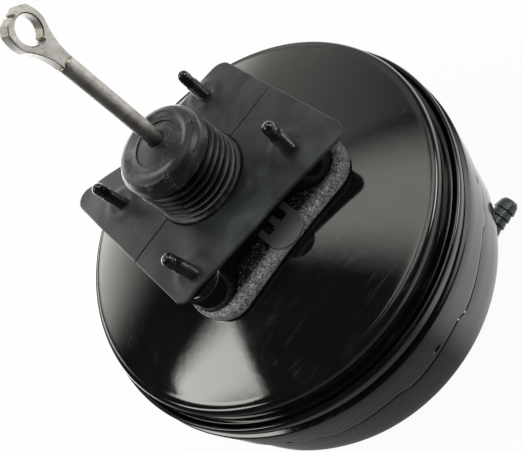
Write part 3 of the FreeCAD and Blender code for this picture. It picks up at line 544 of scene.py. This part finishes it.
def flange_sheet(material):
    """Rubber sheet in polar rows from its hole to its outline. It is flat under the boot,
    swells round each stud, ripples, and sinks past the tower by
    droop_most * (1 - exp(-(distance past / droop_run)^2)). A seam is sunk along Y."""
    azimuths = flange_azimuths()
    outline = rounded_outline(flange_corners, flange_radii)
    edge = ray_radius(outline, azimuths)[None, :]
    share = np.linspace(0, 1, 60)[:, None]
    round_r = flange_thickness / 2
    flat = flange_hole_r + (edge - round_r - flange_hole_r) * share
    turn = np.linspace(0, math.pi, 9)[1:-1, None]
    radius = np.vstack([flat, edge - round_r + round_r * np.sin(turn), flat[::-6]])
    level = np.vstack([0 * flat, round_r * (np.cos(turn) - 1) + 0 * edge,
                       0 * flat[::-6] - flange_thickness])
    x, y = radius * np.cos(azimuths), radius * np.sin(azimuths)
    swell = 0 * x
    for side_x in (-1, 1):
        for side_y in (-1, 1):
            apart = np.hypot(x - side_x * stud_spacing / 2, y - side_y * stud_spacing / 2)
            swell += swell_height * np.exp(-((apart - swell_r) / swell_width) ** 2)
    past = np.clip((x ** 4 + y ** 4) ** 0.25 - droop_start, 0, None)
    droop = -droop_most * (1 - np.exp(-(past / droop_run) ** 2))
    ripple = (0.3 * np.sin(x / 9.0 + 1.3) * np.sin(y / 11.0 + 0.4)
              + 0.12 * np.sin((x + y) / 5.5 + 2.0))
    away = np.clip((radius - boot_ring_r - 1) / flat_run, 0, 1)
    seam = np.clip(1 - np.abs(x) / seam_half_width, 0, 1) * (radius > boot_ring_r)
    top = level > -flange_thickness + 0.01
    height = level + away * (swell * top + droop + ripple) - seam_depth * seam * top
    skin("flange_sheet", np.stack([x, y, height], -1), material, "housing",
         "flange_rubber", "rubber_flange", ring=True)


def drawn_to_rod(grid):
    """The boot's middle moved sideways to the leaning pushrod, by the rod's offset at
    that height times a share that falls to nothing away from the rod."""
    height = grid[:, :, 2]
    reach = np.hypot(grid[:, :, 0], grid[:, :, 1])
    lean = np.tan(rod_tilt) * (height - ball_z)
    follow = np.clip(1 - (reach - rod_r) / pull_reach, 0, 1) ** pull_power
    follow *= height > pull_low_z
    grid[:, :, 0] += lean * follow * math.cos(rod_azimuth)
    grid[:, :, 1] += lean * follow * math.sin(rod_azimuth)
    return grid


def cuff(material):
    """Thin cone in the middle of the boot's cap, from under its lip up to the pushrod. It
    bends with the rod, so its rows rise all the way from the rim to the hole."""
    azimuths = np.linspace(0, 2 * np.pi, 144, endpoint=False)
    hole_r = rod_r + cuff_clearance
    top = rounded_path([(cuff_rim_r, cuff_low_z), (hole_r + 1.6, cuff_high_z),
                        (hole_r, cuff_high_z + 0.5)], [2.0], 6)
    under = top[::-1] - np.array([0.0, cuff_thickness])
    rows = np.vstack([spaced(top, 1.2), spaced(under, 1.2)])
    piece = skin("boot_cuff", drawn_to_rod(turned(rows, azimuths)), material,
                 None, "boot_rubber", ring=True)
    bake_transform(piece)


def boot_path():
    """Profile of the boot: base ring, folds r = valley + h sin(pi f) ^ fold_power, a cap
    that ends in a thin lip over the cuff, and the inner wall back down."""
    foot = 0.1 - flange_thickness
    base = rounded_path([(boot_ring_r - 0.4, foot), (boot_ring_r, foot), (boot_ring_r, 1.6),
                         (boot_valley_r + 0.6, boot_fold_low)], [0.3, 0.7], 5)
    fold = np.linspace(0, boot_ridge_count, boot_ridge_count * 16 + 1)[1:]
    ridge = boot_ridge_r - boot_taper * fold
    sides = np.stack([boot_valley_r + (ridge - boot_valley_r)
                      * np.abs(np.sin(math.pi * fold)) ** fold_power,
                      boot_fold_low + (boot_fold_high - boot_fold_low)
                      * fold / boot_ridge_count], -1)
    cap = rounded_path(cap_corners + [(cuff_lip_r + 0.2, cuff_lip_z + 0.2),
                                      (cuff_lip_r, cuff_lip_z)], cap_radii, 7)
    inside_r = boot_valley_r - boot_wall
    inside = [(cuff_lip_r + 0.1, cuff_lip_z - 0.1)] + cap_inside
    inside += [(inside_r, 26), (inside_r, boot_fold_low), (inside_r, foot)]
    return spaced(np.vstack([base, sides, cap, np.array(inside)]), 3.0)


def bellows(material):
    """Boot turned about the axis, a little uneven round it. Its points keep the painted
    highlight on the ridge crests, the painted shade in the folds, and the paler side of the cap."""
    azimuths = np.linspace(0, 2 * np.pi, 192, endpoint=False)
    rows = boot_path()
    grid = drawn_to_rod(turned(rows, azimuths))
    height = grid[:, :, 2]
    angle = azimuths[None, :]
    wobble = 0.12 * np.sin(3 * angle + height / 5) + 0.08 * np.sin(7 * angle - height / 3)
    grid[:, :, :2] *= (1 + wobble / boot_mean_r * (height > 2))[:, :, None]
    piece = skin("bellows", grid, material, "housing", "boot_rubber", "rubber_boot", ring=True)
    on_ridge = (rows[:, 0] - boot_valley_r) / (boot_ridge_r - boot_valley_r)
    on_side = (rows[:, 1] > boot_fold_low) & (rows[:, 1] < boot_fold_high)
    ridge_glint = np.where(on_side, np.clip((on_ridge - ridge_glint_from) / ridge_glint_run, 0, 1), 0.0)
    shaded = np.where(on_side, np.clip((shaded_from - on_ridge) / shaded_run, 0, 1), 0.0)
    # Painted highlight on the ridge crests and painted shade in the folds
    store(piece, "ridge_glint", np.repeat(ridge_glint, len(azimuths)))
    store(piece, "shaded", np.repeat(shaded, len(azimuths)))
    # The cap is paler on the side that faces one azimuth, above a given height
    facing = np.clip(np.cos(angle - haze_azimuth) + 0 * height, 0, 1) ** 2
    store(piece, "cap_side_haze", facing * np.clip((height - haze_low_z) / haze_run, 0, 1))
    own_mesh(piece)


def threaded(low, high, outer_r, point_r, point_length, pitch):
    """Grid of one stud on the axis: thread r = outer - depth * |saw(z / pitch - t)| over
    its shank, a short cone, then a plain point with a shallow neck and a round end."""
    azimuths = np.linspace(0, 2 * np.pi, 48, endpoint=False)
    thread_end = high - point_length
    count = int((thread_end - low) / pitch * thread_rows)
    z = np.linspace(low, thread_end, count)[:, None]
    saw = np.abs(2 * np.mod(z / pitch - azimuths / (2 * np.pi), 1.0) - 1)
    fade = np.clip((thread_end - z) / (2 * pitch), 0, 1)
    shank_r = outer_r - thread_depth * saw * fade - (1 - fade) * thread_depth * thread_mean
    ring_z = thread_end + neck_share * point_length
    necked_r = point_r - neck_depth
    plain = rounded_path([(outer_r - 0.5, thread_end + 0.1), (point_r, thread_end + 1.3),
                          (point_r, ring_z), (necked_r, ring_z + 0.3),
                          (necked_r, ring_z + 0.8), (point_r, ring_z + 1.1),
                          (point_r, high - point_r)], [0.6, 0.1, 0.1, 0.1, 0.1], 4)
    turn = np.linspace(0.1, math.pi / 2 - 0.12, 9)
    nose = np.stack([point_r * np.cos(turn), high - point_r + point_r * np.sin(turn)], -1)
    tip = spaced(np.vstack([plain, nose]), 2.5)
    return np.vstack([round_points(shank_r, z, azimuths), turned(tip, azimuths)])


def joined(pieces, name):
    """One object from several meshes."""
    with bpy.context.temp_override(active_object=pieces[0], selected_editable_objects=pieces,
                                   selected_objects=pieces, object=pieces[0]):
        bpy.ops.object.join()
    pieces[0].name = name
    return pieces[0]


def studs(name, places, sizes, turned_over, material, node):
    """The same threaded stud at each place, pointing along +Z, or -Z if turned over. Its
    points keep how near they are to the thread's crest, where a highlight is painted."""
    stud = threaded(**sizes)
    depth = sizes["outer_r"] - np.hypot(stud[:, :, 0], stud[:, :, 1])
    crest_glint = np.clip(1 - depth / (crest_share * thread_depth), 0, 1)
    made = []
    for index, (x, y) in enumerate(places):
        grid = stud.copy()
        if turned_over:
            grid[:, :, 2] *= -1
        grid += np.array([x, y, 0])
        part = skin(f"{name}_{index}", grid, material, "housing", "black_studs", caps=(0, -1))
        # Nearness to the thread's crest, for its painted highlight
        store(part, "crest_glint", crest_glint)
        made.append(part)
    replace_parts(joined(made, name), node)


def foam_ring(material):
    """Foam block round the tower: inner wall on the tower's outline, top, rounded outer
    edge and outer wall down to the dome, roughened by small waves. Its points keep how
    near they are to the outer edge, which sets the foam's painted light and shade."""
    azimuths = np.linspace(0, 2 * np.pi, 720, endpoint=False)
    corners = [(foam_half_x, foam_high_y), (-foam_half_x, foam_high_y),
               (-foam_half_x, foam_low_y), (foam_half_x, foam_low_y)]
    outline = rounded_outline(corners, [foam_corner_r] * 4)
    inner = tower_radius(azimuths, foam_clearance)[None, :]
    outer = np.maximum(ray_radius(outline, azimuths)[None, :], inner + foam_least)
    round_r = np.minimum(foam_edge_r, (outer - inner) / 2.2)
    share = np.linspace(0, 1, 9)[:, None]
    turn = np.linspace(0, math.pi / 2, 6)[:, None]
    low_in, low_out = dome_height(inner) + foam_lift, dome_height(outer) + foam_lift
    rise = np.linspace(0, 1, 5)[:-1, None]
    radius = np.vstack([inner + 0 * rise, inner + (outer - round_r - inner) * share,
                        outer - round_r + round_r * np.sin(turn), outer + 0 * rise])
    height = np.vstack([low_in + (foam_top_z - low_in) * rise, foam_top_z + 0 * inner * share,
                        foam_top_z - round_r * (1 - np.cos(turn)),
                        (foam_top_z - round_r) * (1 - rise) + low_out * rise - 0.01])
    x, y = radius * np.cos(azimuths), radius * np.sin(azimuths)
    rough = 0.12 * np.sin(x * 4.1) * np.sin(y * 3.7) + 0.1 * np.sin(x * 1.7 + y * 2.3)
    piece = skin("foam_ring", np.stack([x, y, height + rough], -1), material, "housing",
                 "gasket_foam", "foam_gasket", ring=True)
    # How near each point is to the outer edge: painted light there, painted shade inwards
    store(piece, "band", np.clip(1 - (outer - radius) / foam_lit_band, 0, 1))


def linked(tree, value, socket):
    """Sets a shader socket to a plain value, or joins another socket to it."""
    if isinstance(value, bpy.types.NodeSocket):
        tree.links.new(value, socket)
    else:
        socket.default_value = value


def feed(tree, node, **inputs):
    """Sets a node's inputs to plain values, or joins other sockets to them. An underscore
    stands for each space in a socket's name."""
    for key, value in inputs.items():
        linked(tree, value, node.inputs[key.replace("_", " ")])


def add(tree, kind, settings=None, **inputs):
    """Adds a shader node, sets its properties and feeds its inputs."""
    made = tree.nodes.new(kind)
    for key, value in (settings or {}).items():
        setattr(made, key, value)
    feed(tree, made, **inputs)
    return made


def maths(tree, operation, first, second):
    """Result of one operation on two numbers or sockets."""
    made = add(tree, "ShaderNodeMath", {"operation": operation})
    linked(tree, first, made.inputs[0])
    linked(tree, second, made.inputs[1])
    return made.outputs[0]


def kept(tree, key):
    """Number that a mesh keeps at its points under this name."""
    return add(tree, "ShaderNodeAttribute", {"attribute_name": key}).outputs["Fac"]


def blended(tree, share, low, high):
    """Colour between two by a share from 0 to 1."""
    made = add(tree, "ShaderNodeMix", {"data_type": "RGBA"})
    linked(tree, share, made.inputs[0])
    linked(tree, low, made.inputs[6])
    linked(tree, high, made.inputs[7])
    return made.outputs[2]


def mixed(tree, share, low, high):
    """Shader between two by a share from 0 to 1."""
    made = tree.nodes.new("ShaderNodeMixShader")
    for value, socket in zip((share, low, high), made.inputs):
        tree.links.new(value, socket)
    return made.outputs[0]


def between(tree, value, low, high, out_low=0.0, out_high=1.0):
    """Value taken from one range to another, held at its ends."""
    return add(tree, "ShaderNodeMapRange", Value=value, From_Min=low, From_Max=high,
               To_Min=out_low, To_Max=out_high).outputs[0]


def group(name, inputs, outputs, build):
    """Shader node group with named number inputs and typed outputs, filled by build."""
    made = bpy.data.node_groups.new(name, "ShaderNodeTree")
    for key, value in inputs.items():
        socket = made.interface.new_socket(key, in_out="INPUT", socket_type="NodeSocketFloat")
        socket.default_value = value
    for key, kind in outputs.items():
        made.interface.new_socket(key, in_out="OUTPUT", socket_type=kind)
    entry = made.nodes.new("NodeGroupInput")
    leave = made.nodes.new("NodeGroupOutput")
    place = made.nodes.new("ShaderNodeTexCoord").outputs["Object"]
    for key, socket in build(made, entry.outputs, place).items():
        made.links.new(socket, leave.inputs[key])
    return made


def build_grain(tree, values, place):
    """Fine bumps: two sizes of noise as one height, and the normal that they give."""
    fine = add(tree, "ShaderNodeTexNoise", Vector=place, Scale=values["Scale"], Detail=4.0)
    coarse = maths(tree, "MULTIPLY", values["Scale"], 0.3)
    broad = add(tree, "ShaderNodeTexNoise", Vector=place, Scale=coarse, Detail=2.0)
    total = maths(tree, "ADD", fine.outputs[0], broad.outputs[0])
    bump = add(tree, "ShaderNodeBump", Height=total, Distance=values["Depth"], Strength=1.0)
    return {"Height": total, "Normal": bump.outputs[0]}


def build_bloom(tree, values, place):
    """Cloudy pale patches: a warped noise cut at a level."""
    noise = add(tree, "ShaderNodeTexNoise", Vector=place, Scale=values["Scale"],
                Detail=6.0, Roughness=0.62, Distortion=0.8)
    return {"Mask": between(tree, noise.outputs[0], values["Level"], 0.8)}


def build_speckle(tree, values, place):
    """Scattered small bright cells."""
    cells = add(tree, "ShaderNodeTexVoronoi", Vector=place, Scale=values["Scale"])
    chance = add(tree, "ShaderNodeSeparateColor", Color=cells.outputs["Color"])
    chosen = maths(tree, "GREATER_THAN", chance.outputs[0], values["Level"])
    near = between(tree, cells.outputs["Distance"], 0.25, 0.55, 1.0, 0.0)
    return {"Mask": maths(tree, "MULTIPLY", chosen, near)}


def build_scuffs(tree, values, place):
    """Short strokes: noise drawn out along one way, kept where a broad noise is high."""
    drawn = add(tree, "ShaderNodeMapping", Vector=place, Scale=(1.0, 0.12, 1.0),
                Rotation=(0.0, 0.0, 0.9))
    lines = add(tree, "ShaderNodeTexNoise", Vector=drawn.outputs[0],
                Scale=values["Scale"], Detail=3.0)
    broad = add(tree, "ShaderNodeTexNoise", Vector=place, Scale=28.0, Detail=2.0)
    fine = between(tree, lines.outputs[0], 0.56, 0.72)
    where = between(tree, broad.outputs[0], 0.48, 0.66)
    return {"Mask": maths(tree, "MULTIPLY", fine, where)}


grain = group("grain", {"Scale": 900.0, "Depth": 0.0001},
              {"Height": "NodeSocketFloat", "Normal": "NodeSocketVector"}, build_grain)
bloom = group("bloom", {"Scale": 40.0, "Level": 0.5}, {"Mask": "NodeSocketFloat"}, build_bloom)
speckle = group("speckle", {"Scale": 900.0, "Level": 0.8}, {"Mask": "NodeSocketFloat"},
                build_speckle)
scuffs = group("scuffs", {"Scale": 500.0}, {"Mask": "NodeSocketFloat"}, build_scuffs)


def use(tree, effect, **values):
    """Places a shared effect in a material with its own values."""
    made = tree.nodes.new("ShaderNodeGroup")
    made.node_tree = effect
    for key, value in values.items():
        made.inputs[key].default_value = value
    return made.outputs


def finish(name, **inputs):
    """New material with a Principled shader, whose own inputs are fed."""
    made = bpy.data.materials.new(name)
    made.use_nodes = True
    shader = made.node_tree.nodes["Principled BSDF"]
    feed(made.node_tree, shader, **inputs)
    return made, made.node_tree, shader


def gloss_paint():
    """Black baked paint: faint orange peel, soft scuffs and a little dust in its gloss."""
    made, tree, shader = finish("gloss_paint")
    peel = use(tree, grain, Scale=260.0, Depth=0.00002)
    marks = use(tree, scuffs, Scale=420.0)["Mask"]
    dust = use(tree, bloom, Scale=55.0, Level=0.5)["Mask"]
    base = blended(tree, dust, (0.006, 0.006, 0.0065, 1), (0.011, 0.011, 0.0105, 1))
    feed(tree, shader, Normal=peel["Normal"],
         Base_Color=blended(tree, marks, base, (0.03, 0.028, 0.025, 1)),
         Roughness=between(tree, dust, 0, 1, 0.07, 0.13))
    return made


def moulded_rubber(name, dark, pale, rough, scale, bloom_scale, bloom_level):
    """Satin moulded rubber: fine grain and cloudy pale bloom."""
    made, tree, shader = finish(name, Specular_IOR_Level=0.3)
    texture = use(tree, grain, Scale=scale, Depth=0.00006)
    cloud = use(tree, bloom, Scale=bloom_scale, Level=bloom_level)["Mask"]
    feed(tree, shader, Normal=texture["Normal"], Base_Color=blended(tree, cloud, dark, pale),
         Roughness=between(tree, cloud, 0, 1, rough, rough + 0.12))
    return made


def base_colour(made):
    """Shader of a finished material, and the colour now joined to it."""
    shader = made.node_tree.nodes["Principled BSDF"]
    return shader, shader.inputs["Base Color"].links[0].from_socket


def boot_rubber():
    """Moulded rubber of the boot: a painted highlight along the ridge crests, painted shade
    in the folds, a paler haze on one side of the cap, and a dusting of small pale specks in
    patches."""
    made = moulded_rubber("boot_rubber_skin", (0.011, 0.0125, 0.0135, 1),
                          (0.1, 0.108, 0.112, 1), rough=0.36, scale=1400.0,
                          bloom_scale=120.0, bloom_level=0.54)
    tree = made.node_tree
    shader, base = base_colour(made)
    specks = use(tree, speckle, Scale=1700.0, Level=0.62)
    patch = use(tree, bloom, Scale=38.0, Level=0.52)
    dusted = maths(tree, "MULTIPLY", specks["Mask"], patch["Mask"])
    cloud = use(tree, bloom, Scale=75.0, Level=0.3)
    # Paler haze on one side of the cap
    haze = maths(tree, "MULTIPLY", kept(tree, "cap_side_haze"), cloud["Mask"])
    tone = blended(tree, haze, base, (0.26, 0.27, 0.275, 1))
    tone = blended(tree, dusted, tone, (0.6, 0.62, 0.63, 1))
    # Painted shade: near black in the folds
    tone = blended(tree, kept(tree, "shaded"), tone, (0.002, 0.002, 0.0025, 1))
    # Painted highlight: pale along the ridge crests
    ridge_glint = between(tree, kept(tree, "ridge_glint"), 0, 1, 0.0, 0.8)
    feed(tree, shader, Base_Color=blended(tree, ridge_glint, tone, (0.22, 0.235, 0.24, 1)))
    return made


def stud_coating():
    """Black coating of the studs, satin, with a painted highlight along the thread's crests."""
    made = plastic("stud_coating", (0.008, 0.008, 0.009, 1), (0.018, 0.018, 0.019, 1),
                   rough=0.2, scale=1500.0, depth=0.00002)
    tree = made.node_tree
    shader, base = base_colour(made)
    # Painted highlight: paler along the thread's crests
    glinted = blended(tree, kept(tree, "crest_glint"), base, (0.055, 0.055, 0.053, 1))
    feed(tree, shader, Base_Color=glinted)
    return made


def speckled_foam():
    """Closed foam with specks of its own, given painted light and shade: dark with a few
    specks inwards as painted shade under the flange, and grey cells with many bright specks
    along its outer edge as painted light on the rounded edge."""
    made, tree, shader = finish("speckled_foam", Roughness=0.95, Specular_IOR_Level=0.2)
    pores = use(tree, grain, Scale=1300.0, Depth=0.0006)
    many = use(tree, speckle, Scale=1800.0, Level=0.66)
    cells = blended(tree, between(tree, pores["Height"], 0.7, 1.3), (0.03, 0.03, 0.032, 1),
                    (0.34, 0.34, 0.34, 1))
    pale = blended(tree, many["Mask"], cells, (0.95, 0.95, 0.94, 1))
    few = use(tree, speckle, Scale=1500.0, Level=0.86)
    dark = blended(tree, few["Mask"], (0.012, 0.012, 0.013, 1), (0.5, 0.5, 0.5, 1))
    # Painted light and shade: the pale speckled look on the outer edge, the dark look inwards
    # under the flange
    edge = between(tree, kept(tree, "band"), 0.15, 0.55)
    feed(tree, shader, Normal=pores["Normal"], Base_Color=blended(tree, edge, dark, pale))
    return made


def metal(name, dark, pale, rough, scale, depth):
    """Bare or plated steel: mottled tone, fine pits and drawn marks."""
    made, tree, shader = finish(name, Metallic=1.0)
    pits = use(tree, grain, Scale=scale, Depth=depth)
    cloud = use(tree, bloom, Scale=90.0, Level=0.35)["Mask"]
    marks = use(tree, scuffs, Scale=900.0)["Mask"]
    tone = blended(tree, cloud, dark, pale)
    feed(tree, shader, Normal=pits["Normal"], Base_Color=blended(tree, marks, tone, pale),
         Roughness=between(tree, cloud, 0, 1, rough, rough + 0.14))
    return made


def plastic(name, dark, pale, rough, scale=800.0, depth=0.00004):
    """Moulded plastic, felt or coating: fine grain and a slow change of tone."""
    made, tree, shader = finish(name)
    texture = use(tree, grain, Scale=scale, Depth=depth)
    cloud = use(tree, bloom, Scale=70.0, Level=0.45)["Mask"]
    feed(tree, shader, Normal=texture["Normal"], Base_Color=blended(tree, cloud, dark, pale),
         Roughness=between(tree, cloud, 0, 1, rough, rough + 0.1))
    return made


materials = {
    "black_gloss_paint": gloss_paint(),
    "flange_rubber": moulded_rubber("flange_rubber_skin", (0.0115, 0.0138, 0.0148, 1),
                                    (0.062, 0.069, 0.072, 1), rough=0.44, scale=1100.0,
                                    bloom_scale=34.0, bloom_level=0.43),
    "boot_rubber": boot_rubber(),
    "gasket_foam": speckled_foam(),
    "tab_plastic": plastic("tab_skin", (0.085, 0.092, 0.09, 1), (0.12, 0.128, 0.124, 1),
                           rough=0.5),
    "seal_rubber": moulded_rubber("seal_skin", (0.02, 0.02, 0.021, 1), (0.05, 0.05, 0.05, 1),
                                  rough=0.45, scale=1200.0, bloom_scale=60.0,
                                  bloom_level=0.55),
    "diaphragm_rubber": moulded_rubber("diaphragm_skin", (0.03, 0.03, 0.03, 1),
                                       (0.07, 0.07, 0.07, 1), rough=0.6, scale=900.0,
                                       bloom_scale=50.0, bloom_level=0.5),
    "forged_steel": metal("forged_steel_skin", (0.22, 0.205, 0.185, 1),
                          (0.5, 0.48, 0.45, 1), rough=0.36, scale=1500.0, depth=0.00012),
    "turned_steel": metal("turned_steel_skin", (0.4, 0.4, 0.39, 1), (0.6, 0.6, 0.58, 1),
                          rough=0.25, scale=1600.0, depth=0.00002),
    "spring_steel": metal("spring_steel_skin", (0.2, 0.2, 0.2, 1), (0.42, 0.42, 0.42, 1),
                          rough=0.3, scale=1400.0, depth=0.00002),
    "zinc_plate": metal("zinc_skin", (0.5, 0.49, 0.45, 1), (0.7, 0.69, 0.64, 1),
                        rough=0.3, scale=1200.0, depth=0.00002),
    "black_studs": stud_coating(),
    "nylon": plastic("nylon_skin", (0.5, 0.48, 0.42, 1), (0.6, 0.58, 0.52, 1), rough=0.45),
    "phenolic": plastic("phenolic_skin", (0.03, 0.02, 0.015, 1), (0.06, 0.04, 0.03, 1),
                        rough=0.4),
    "filter_felt": plastic("felt_skin", (0.35, 0.33, 0.29, 1), (0.5, 0.48, 0.43, 1),
                           rough=0.9, scale=600.0, depth=0.0004),
    "valve_plastic": plastic("valve_skin", (0.018, 0.026, 0.033, 1),
                             (0.035, 0.048, 0.06, 1), rough=0.35),
}


def dress_cad_nodes():
    """Gives each CAD node the finish of its slot in the record."""
    slots = {part["node"]: part["material_slot"] for part in frame["record"]["subparts"]}
    for name, node in frame["nodes"].items():
        material = materials[slots[name]]
        if not node.material_slots:
            node.data.materials.append(material)
        for entry in node.material_slots:
            entry.material = material


def glowing(name, strength):
    """Plain emitter for a light card or the tent."""
    made = bpy.data.materials.new(name)
    made.use_nodes = True
    tree = made.node_tree
    tree.nodes.clear()
    glow = add(tree, "ShaderNodeEmission", Strength=strength)
    add(tree, "ShaderNodeOutputMaterial", Surface=glow.outputs[0])
    return made


def rectangle(name, half_width, half_length, height, material):
    """Level four-cornered panel that faces up."""
    mesh = bpy.data.meshes.new(name)
    mesh.from_pydata([(-half_width, -half_length, height), (half_width, -half_length, height),
                      (half_width, half_length, height), (-half_width, half_length, height)],
                     [], [(0, 1, 2, 3)])
    mesh.materials.append(material)
    return placed(name, mesh)


def card(name, azimuth, elevation, distance, width, length, turn, strength):
    """Flat panel that faces the booster and lights it, unseen by camera and reflections."""
    panel = rectangle(name, width / 2, length / 2, 0, glowing(name + "_glow", strength))
    centre = towards(azimuth, elevation, distance)
    aim = (Vector(card_aim) - Vector(centre)).to_track_quat("-Z", "Y")
    panel.matrix_world = (Matrix.Translation(centre) @ aim.to_matrix().to_4x4()
                          @ Matrix.Rotation(math.radians(turn), 4, "Z"))
    panel.visible_camera = False
    panel.visible_glossy = False


def towards(azimuth, elevation, distance):
    """Point at an azimuth and elevation in degrees, and a distance in metres."""
    a, e = math.radians(azimuth), math.radians(elevation)
    return (distance * math.cos(e) * math.cos(a), distance * math.cos(e) * math.sin(a),
            distance * math.sin(e))


def panel_glow(direction, panel):
    """Glow of one soft-edged panel of the tent. On a plane square to the panel's own
    direction, a and b are the offsets along its width and its height. The glow is
    strength * edge(a / (1 - taper * b / height)) * edge(b), where edge is a smooth step."""
    azimuth, roll = math.radians(panel["azimuth"]), math.radians(panel["roll"])
    middle = np.array(towards(panel["azimuth"], panel["elevation"], 1.0))
    level = np.array([-math.sin(azimuth), math.cos(azimuth), 0.0])
    upright = np.cross(middle, level)
    across = level * math.cos(roll) + upright * math.sin(roll)
    along = upright * math.cos(roll) - level * math.sin(roll)

    def edge(offset, half, soft):
        """Share of the glow at an offset: 1 inside, 0 outside, smooth between."""
        return smooth(np.clip((half + soft - np.abs(offset)) / (2 * soft), 0, 1))

    facing = direction @ middle
    near = np.maximum(facing, tent_least)
    b = direction @ along / near
    tall = max(panel["half_height"], tent_least)
    narrow = np.maximum(1 - panel["taper"] * b / tall, tent_least)
    a = direction @ across / near / narrow - panel.get("shift", 0.0)
    return (panel["strength"] * (facing > tent_least)
            * edge(a, panel["half_width"], panel["soft_width"])
            * edge(b, panel["half_height"], panel["soft_height"]))


def tent_sphere(columns=400, rows=220):
    """Directions of a round tent's points, and its faces, which face inwards."""
    azimuths = np.linspace(0, 2 * np.pi, columns, endpoint=False)[None, :]
    heights = np.radians(np.linspace(-89.6, 89.6, rows))[:, None]
    direction = np.stack([np.cos(heights) * np.cos(azimuths), np.cos(heights) * np.sin(azimuths),
                          np.sin(heights) + 0 * azimuths], -1).reshape(-1, 3)
    index = np.arange(rows * columns).reshape(rows, columns)
    faces = np.stack([index[:-1], index[1:], np.roll(index[1:], -1, 1),
                      np.roll(index[:-1], -1, 1)], -1).reshape(-1, 4)
    return direction, faces.tolist() + [index[-1][::-1].tolist(), index[0].tolist()]


def tent():
    """Round tent about the set, seen only in reflections: dark and slightly warm above the
    horizon, dim below it, with the soft panels whose mirror images lie on the shell. Its
    points store the glow."""
    direction, faces = tent_sphere()
    glow = np.where(direction[:, 2] < 0, tent_ground, tent_dark)
    glow = glow + sum(panel_glow(direction, panel) for panel in tent_panels)
    tint = np.where(direction[:, 2:] < 0, 1.0, np.array(tent_tint))
    colour = np.concatenate([glow[:, None] * tint, np.ones((len(glow), 1))], 1)
    mesh = bpy.data.meshes.new("reflection_tent")
    mesh.from_pydata((direction * tent_radius).tolist(), [], faces)
    mesh.attributes.new("glow", "FLOAT_COLOR", "POINT").data.foreach_set(
        "color", colour.ravel().astype(np.float32))
    made = glowing("tent_glow", 1.0)
    tree = made.node_tree
    stored = add(tree, "ShaderNodeAttribute", {"attribute_name": "glow"})
    feed(tree, tree.nodes["Emission"], Color=stored.outputs["Color"])
    mesh.materials.append(made)
    shell = placed("reflection_tent", mesh)
    shell.visible_camera = False
    shell.visible_diffuse = False
    shell.visible_transmission = False
    shell.visible_shadow = False


def studio():
    """Two light cards, the tent for reflections, and a world that is white to the eye."""
    for settings in cards:
        card(**settings)
    tent()
    world = bpy.data.worlds.new("studio")
    bpy.context.scene.world = world
    world.use_nodes = True
    tree = world.node_tree
    path = tree.nodes.new("ShaderNodeLightPath").outputs
    seen = maths(tree, "MAXIMUM", path["Is Camera Ray"], path["Is Glossy Ray"])
    clear = maths(tree, "MAXIMUM", seen, path["Is Transmission Ray"])
    feed(tree, tree.nodes["Background"], Color=(1, 1, 1, 1),
         Strength=between(tree, clear, 0, 1, world_light, 1.0))


def floor():
    """Pale floor just under the booster. The eye sees it white, less the object's shadow,
    which is its own shading laid over white; reflections see the tent in its place, and
    from below it is clear."""
    made, tree, shader = finish("pale_floor", Base_Color=(0.9, 0.9, 0.9, 1), Roughness=0.8)
    glow = add(tree, "ShaderNodeEmission", Strength=1.0)
    path = tree.nodes.new("ShaderNodeLightPath").outputs
    share = between(tree, path["Is Camera Ray"], 0, 1, 0.0, floor_white)
    seen = mixed(tree, share, shader.outputs[0], glow.outputs[0])
    below = tree.nodes.new("ShaderNodeNewGeometry").outputs["Backfacing"]
    clear = tree.nodes.new("ShaderNodeBsdfTransparent").outputs[0]
    feed(tree, tree.nodes["Material Output"], Surface=mixed(tree, below, seen, clear))
    plane = rectangle("floor", floor_half, floor_half, cad_low[2] - floor_gap, made)
    plane.visible_glossy = False


def camera():
    """Camera at the photograph's place, its turn set by its forward and up directions."""
    data = bpy.data.cameras.new("camera")
    made = placed("camera", data)
    back = -Vector(camera_forward).normalized()
    right = Vector(camera_up).cross(back).normalized()
    up = back.cross(right)
    turn = Matrix((right, up, back)).transposed().to_4x4()
    made.matrix_world = Matrix.Translation(Vector(camera_place) * MM) @ turn
    data.sensor_width = sensor_width
    data.lens = focal_pixels * sensor_width / image_width
    data.shift_x = -(centre_pixel[0] - image_width / 2) / image_width
    data.shift_y = (centre_pixel[1] - image_height / 2) / image_width
    data.clip_start = 0.01
    data.clip_end = 20.0
    bpy.context.scene.camera = made


bpy.context.scene.view_settings.view_transform = "Standard"
camera()
studio()
floor()
dress_cad_nodes()
rear_pressing(materials["black_gloss_paint"])
front_pressing(materials["black_gloss_paint"])
flange_sheet(materials["flange_rubber"])
bellows(materials["boot_rubber"])
cuff(materials["boot_rubber"])
foam_ring(materials["gasket_foam"])
half = stud_spacing / 2
studs("rear_stud_set", [(-half, half), (-half, -half), (half, -half), (half, half)],
      rear_stud, False, materials["black_studs"], "rear_studs")
studs("front_stud_set", [(-front_stud_x, 0), (front_stud_x, 0)], front_stud, True,
      materials["black_studs"], "front_studs")
